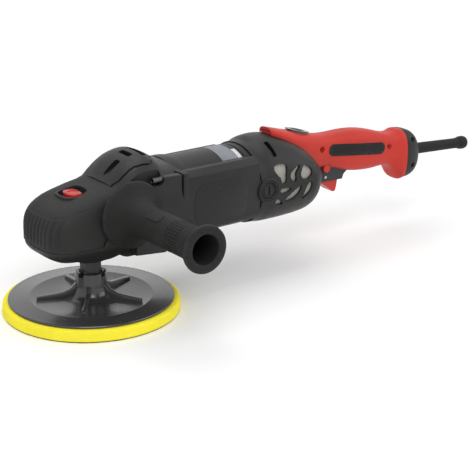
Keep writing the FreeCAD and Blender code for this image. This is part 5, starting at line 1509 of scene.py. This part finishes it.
# ------------------------------------------------------------------ stage
@dataclass
class Studio:
    """The pale floor, the soft lights and the camera."""

    lens: float = 107.23
    eye: Place = (-0.67347, -1.13557, 0.54520)
    right: Place = (0.799959, -0.600040, 0.004309)
    up: Place = (0.197698, 0.270333, 0.942250)
    floor_half: float = 9.0
    floor_colour: Colour = (0.97, 0.97, 0.97)
    air: float = 0.54
    aim: Place = (0.15, 0.0, 0.08)
    sensor: float = 36.0
    lamps: tuple[tuple[str, Place, float, float], ...] = (
        ("key", (-0.9, -1.5, 1.9), 1.3, 20.0), ("fill", (1.6, -1.2, 1.3), 1.6, 11.0),
        ("top", (0.1, 0.5, 2.2), 1.8, 19.0))

    def build(self) -> None:
        """Build the stage."""
        self.build_floor()
        self.build_world()
        for lamp in self.lamps:
            self.build_lamp(*lamp)
        self.build_camera()

    def build_floor(self) -> None:
        """Build the floor just below the pad, which turns white far from the tool."""
        bm = bmesh.new()
        bmesh.ops.create_grid(bm, x_segments=2, y_segments=2, size=self.floor_half)
        floor = plain_object(bm, "floor")
        paper = bpy.data.materials.new("floor_paper")
        paper.use_nodes = True
        graph = Graph(paper.node_tree)
        shader = paper.node_tree.nodes["Principled BSDF"]
        shader.inputs["Roughness"].default_value = 0.9
        place = graph.add("TexCoord").outputs["Object"]
        fibre = graph.add("TexNoise", None, Vector=place, Scale=40.0, Detail=3.0).outputs[0]
        low = tuple(c * 0.985 for c in self.floor_colour)
        graph.tree.links.new(graph.blend(fibre, (*low, 1.0), (*self.floor_colour, 1.0)),
                             shader.inputs["Base Color"])
        away = graph.add("VectorMath", {"operation": "LENGTH"}, i0=place).outputs["Value"]
        seen = graph.add("LightPath").outputs["Is Camera Ray"]
        shader.inputs["Emission Color"].default_value = (1.0, 1.0, 1.0, 1.0)
        graph.tree.links.new(graph.math("MULTIPLY", seen, graph.spread(away, 0.8, 2.2)),
                             shader.inputs["Emission Strength"])
        floor.data.materials.append(paper)

    def build_world(self) -> None:
        """Build the even surrounding light, white where it is seen."""
        world = bpy.data.worlds.new("studio_air")
        world.use_nodes = True
        graph = Graph(world.node_tree)
        air = world.node_tree.nodes["Background"]
        path = graph.add("LightPath")
        seen = graph.math("MAXIMUM", path.outputs["Is Camera Ray"], path.outputs["Is Glossy Ray"])
        seen = graph.math("MAXIMUM", seen, path.outputs["Is Transmission Ray"])
        air.inputs["Color"].default_value = (1.0, 1.0, 1.0, 1.0)
        graph.tree.links.new(graph.spread(seen, 0.0, 1.0, self.air, 1.0), air.inputs["Strength"])
        bpy.context.scene.world = world

    def build_lamp(self, name: str, place: Sequence[float], size: float, power: float) -> None:
        """Add a soft square lamp that faces the tool's middle.

        Args:
            name: The lamp's name.
            place: Where it hangs, in metres.
            size: The side of its square in metres.
            power: Its power in watts.
        """
        lamp = bpy.data.lights.new(name, "AREA")
        lamp.size = size
        lamp.energy = power
        held = bpy.data.objects.new(name, lamp)
        bpy.context.scene.collection.objects.link(held)
        aim = Vector(self.aim) - Vector(place)
        held.matrix_world = (Matrix.Translation(place)
                             @ aim.to_track_quat("-Z", "Y").to_matrix().to_4x4())

    def build_camera(self) -> None:
        """Place the camera."""
        lens = bpy.data.cameras.new("camera")
        lens.lens = self.lens
        lens.sensor_width = self.sensor
        lens.clip_end = 50.0
        camera = bpy.data.objects.new("camera", lens)
        bpy.context.scene.collection.objects.link(camera)
        right, up = Vector(self.right).normalized(), Vector(self.up)
        back = right.cross(up).normalized()
        up = back.cross(right)
        turn = Matrix((right, up, back)).transposed().to_4x4()
        camera.matrix_world = Matrix.Translation(self.eye) @ turn
        bpy.context.scene.camera = camera


def main() -> None:
    """Build every sub-assembly in order."""
    logging.basicConfig(level=logging.INFO, format="%(name)s %(message)s")
    dress_carried()
    for assembly in (PadSet(), Head(), Cowl(), MotorHousing(), RearCover(), SideHandle(),
                     RearHandle()):
        LOG.info("building %s", type(assembly).__name__)
        assembly.build()
    Studio().build()
    scene = bpy.context.scene
    scene.view_settings.view_transform = "Standard"


if __name__ == "__main__":
    main()
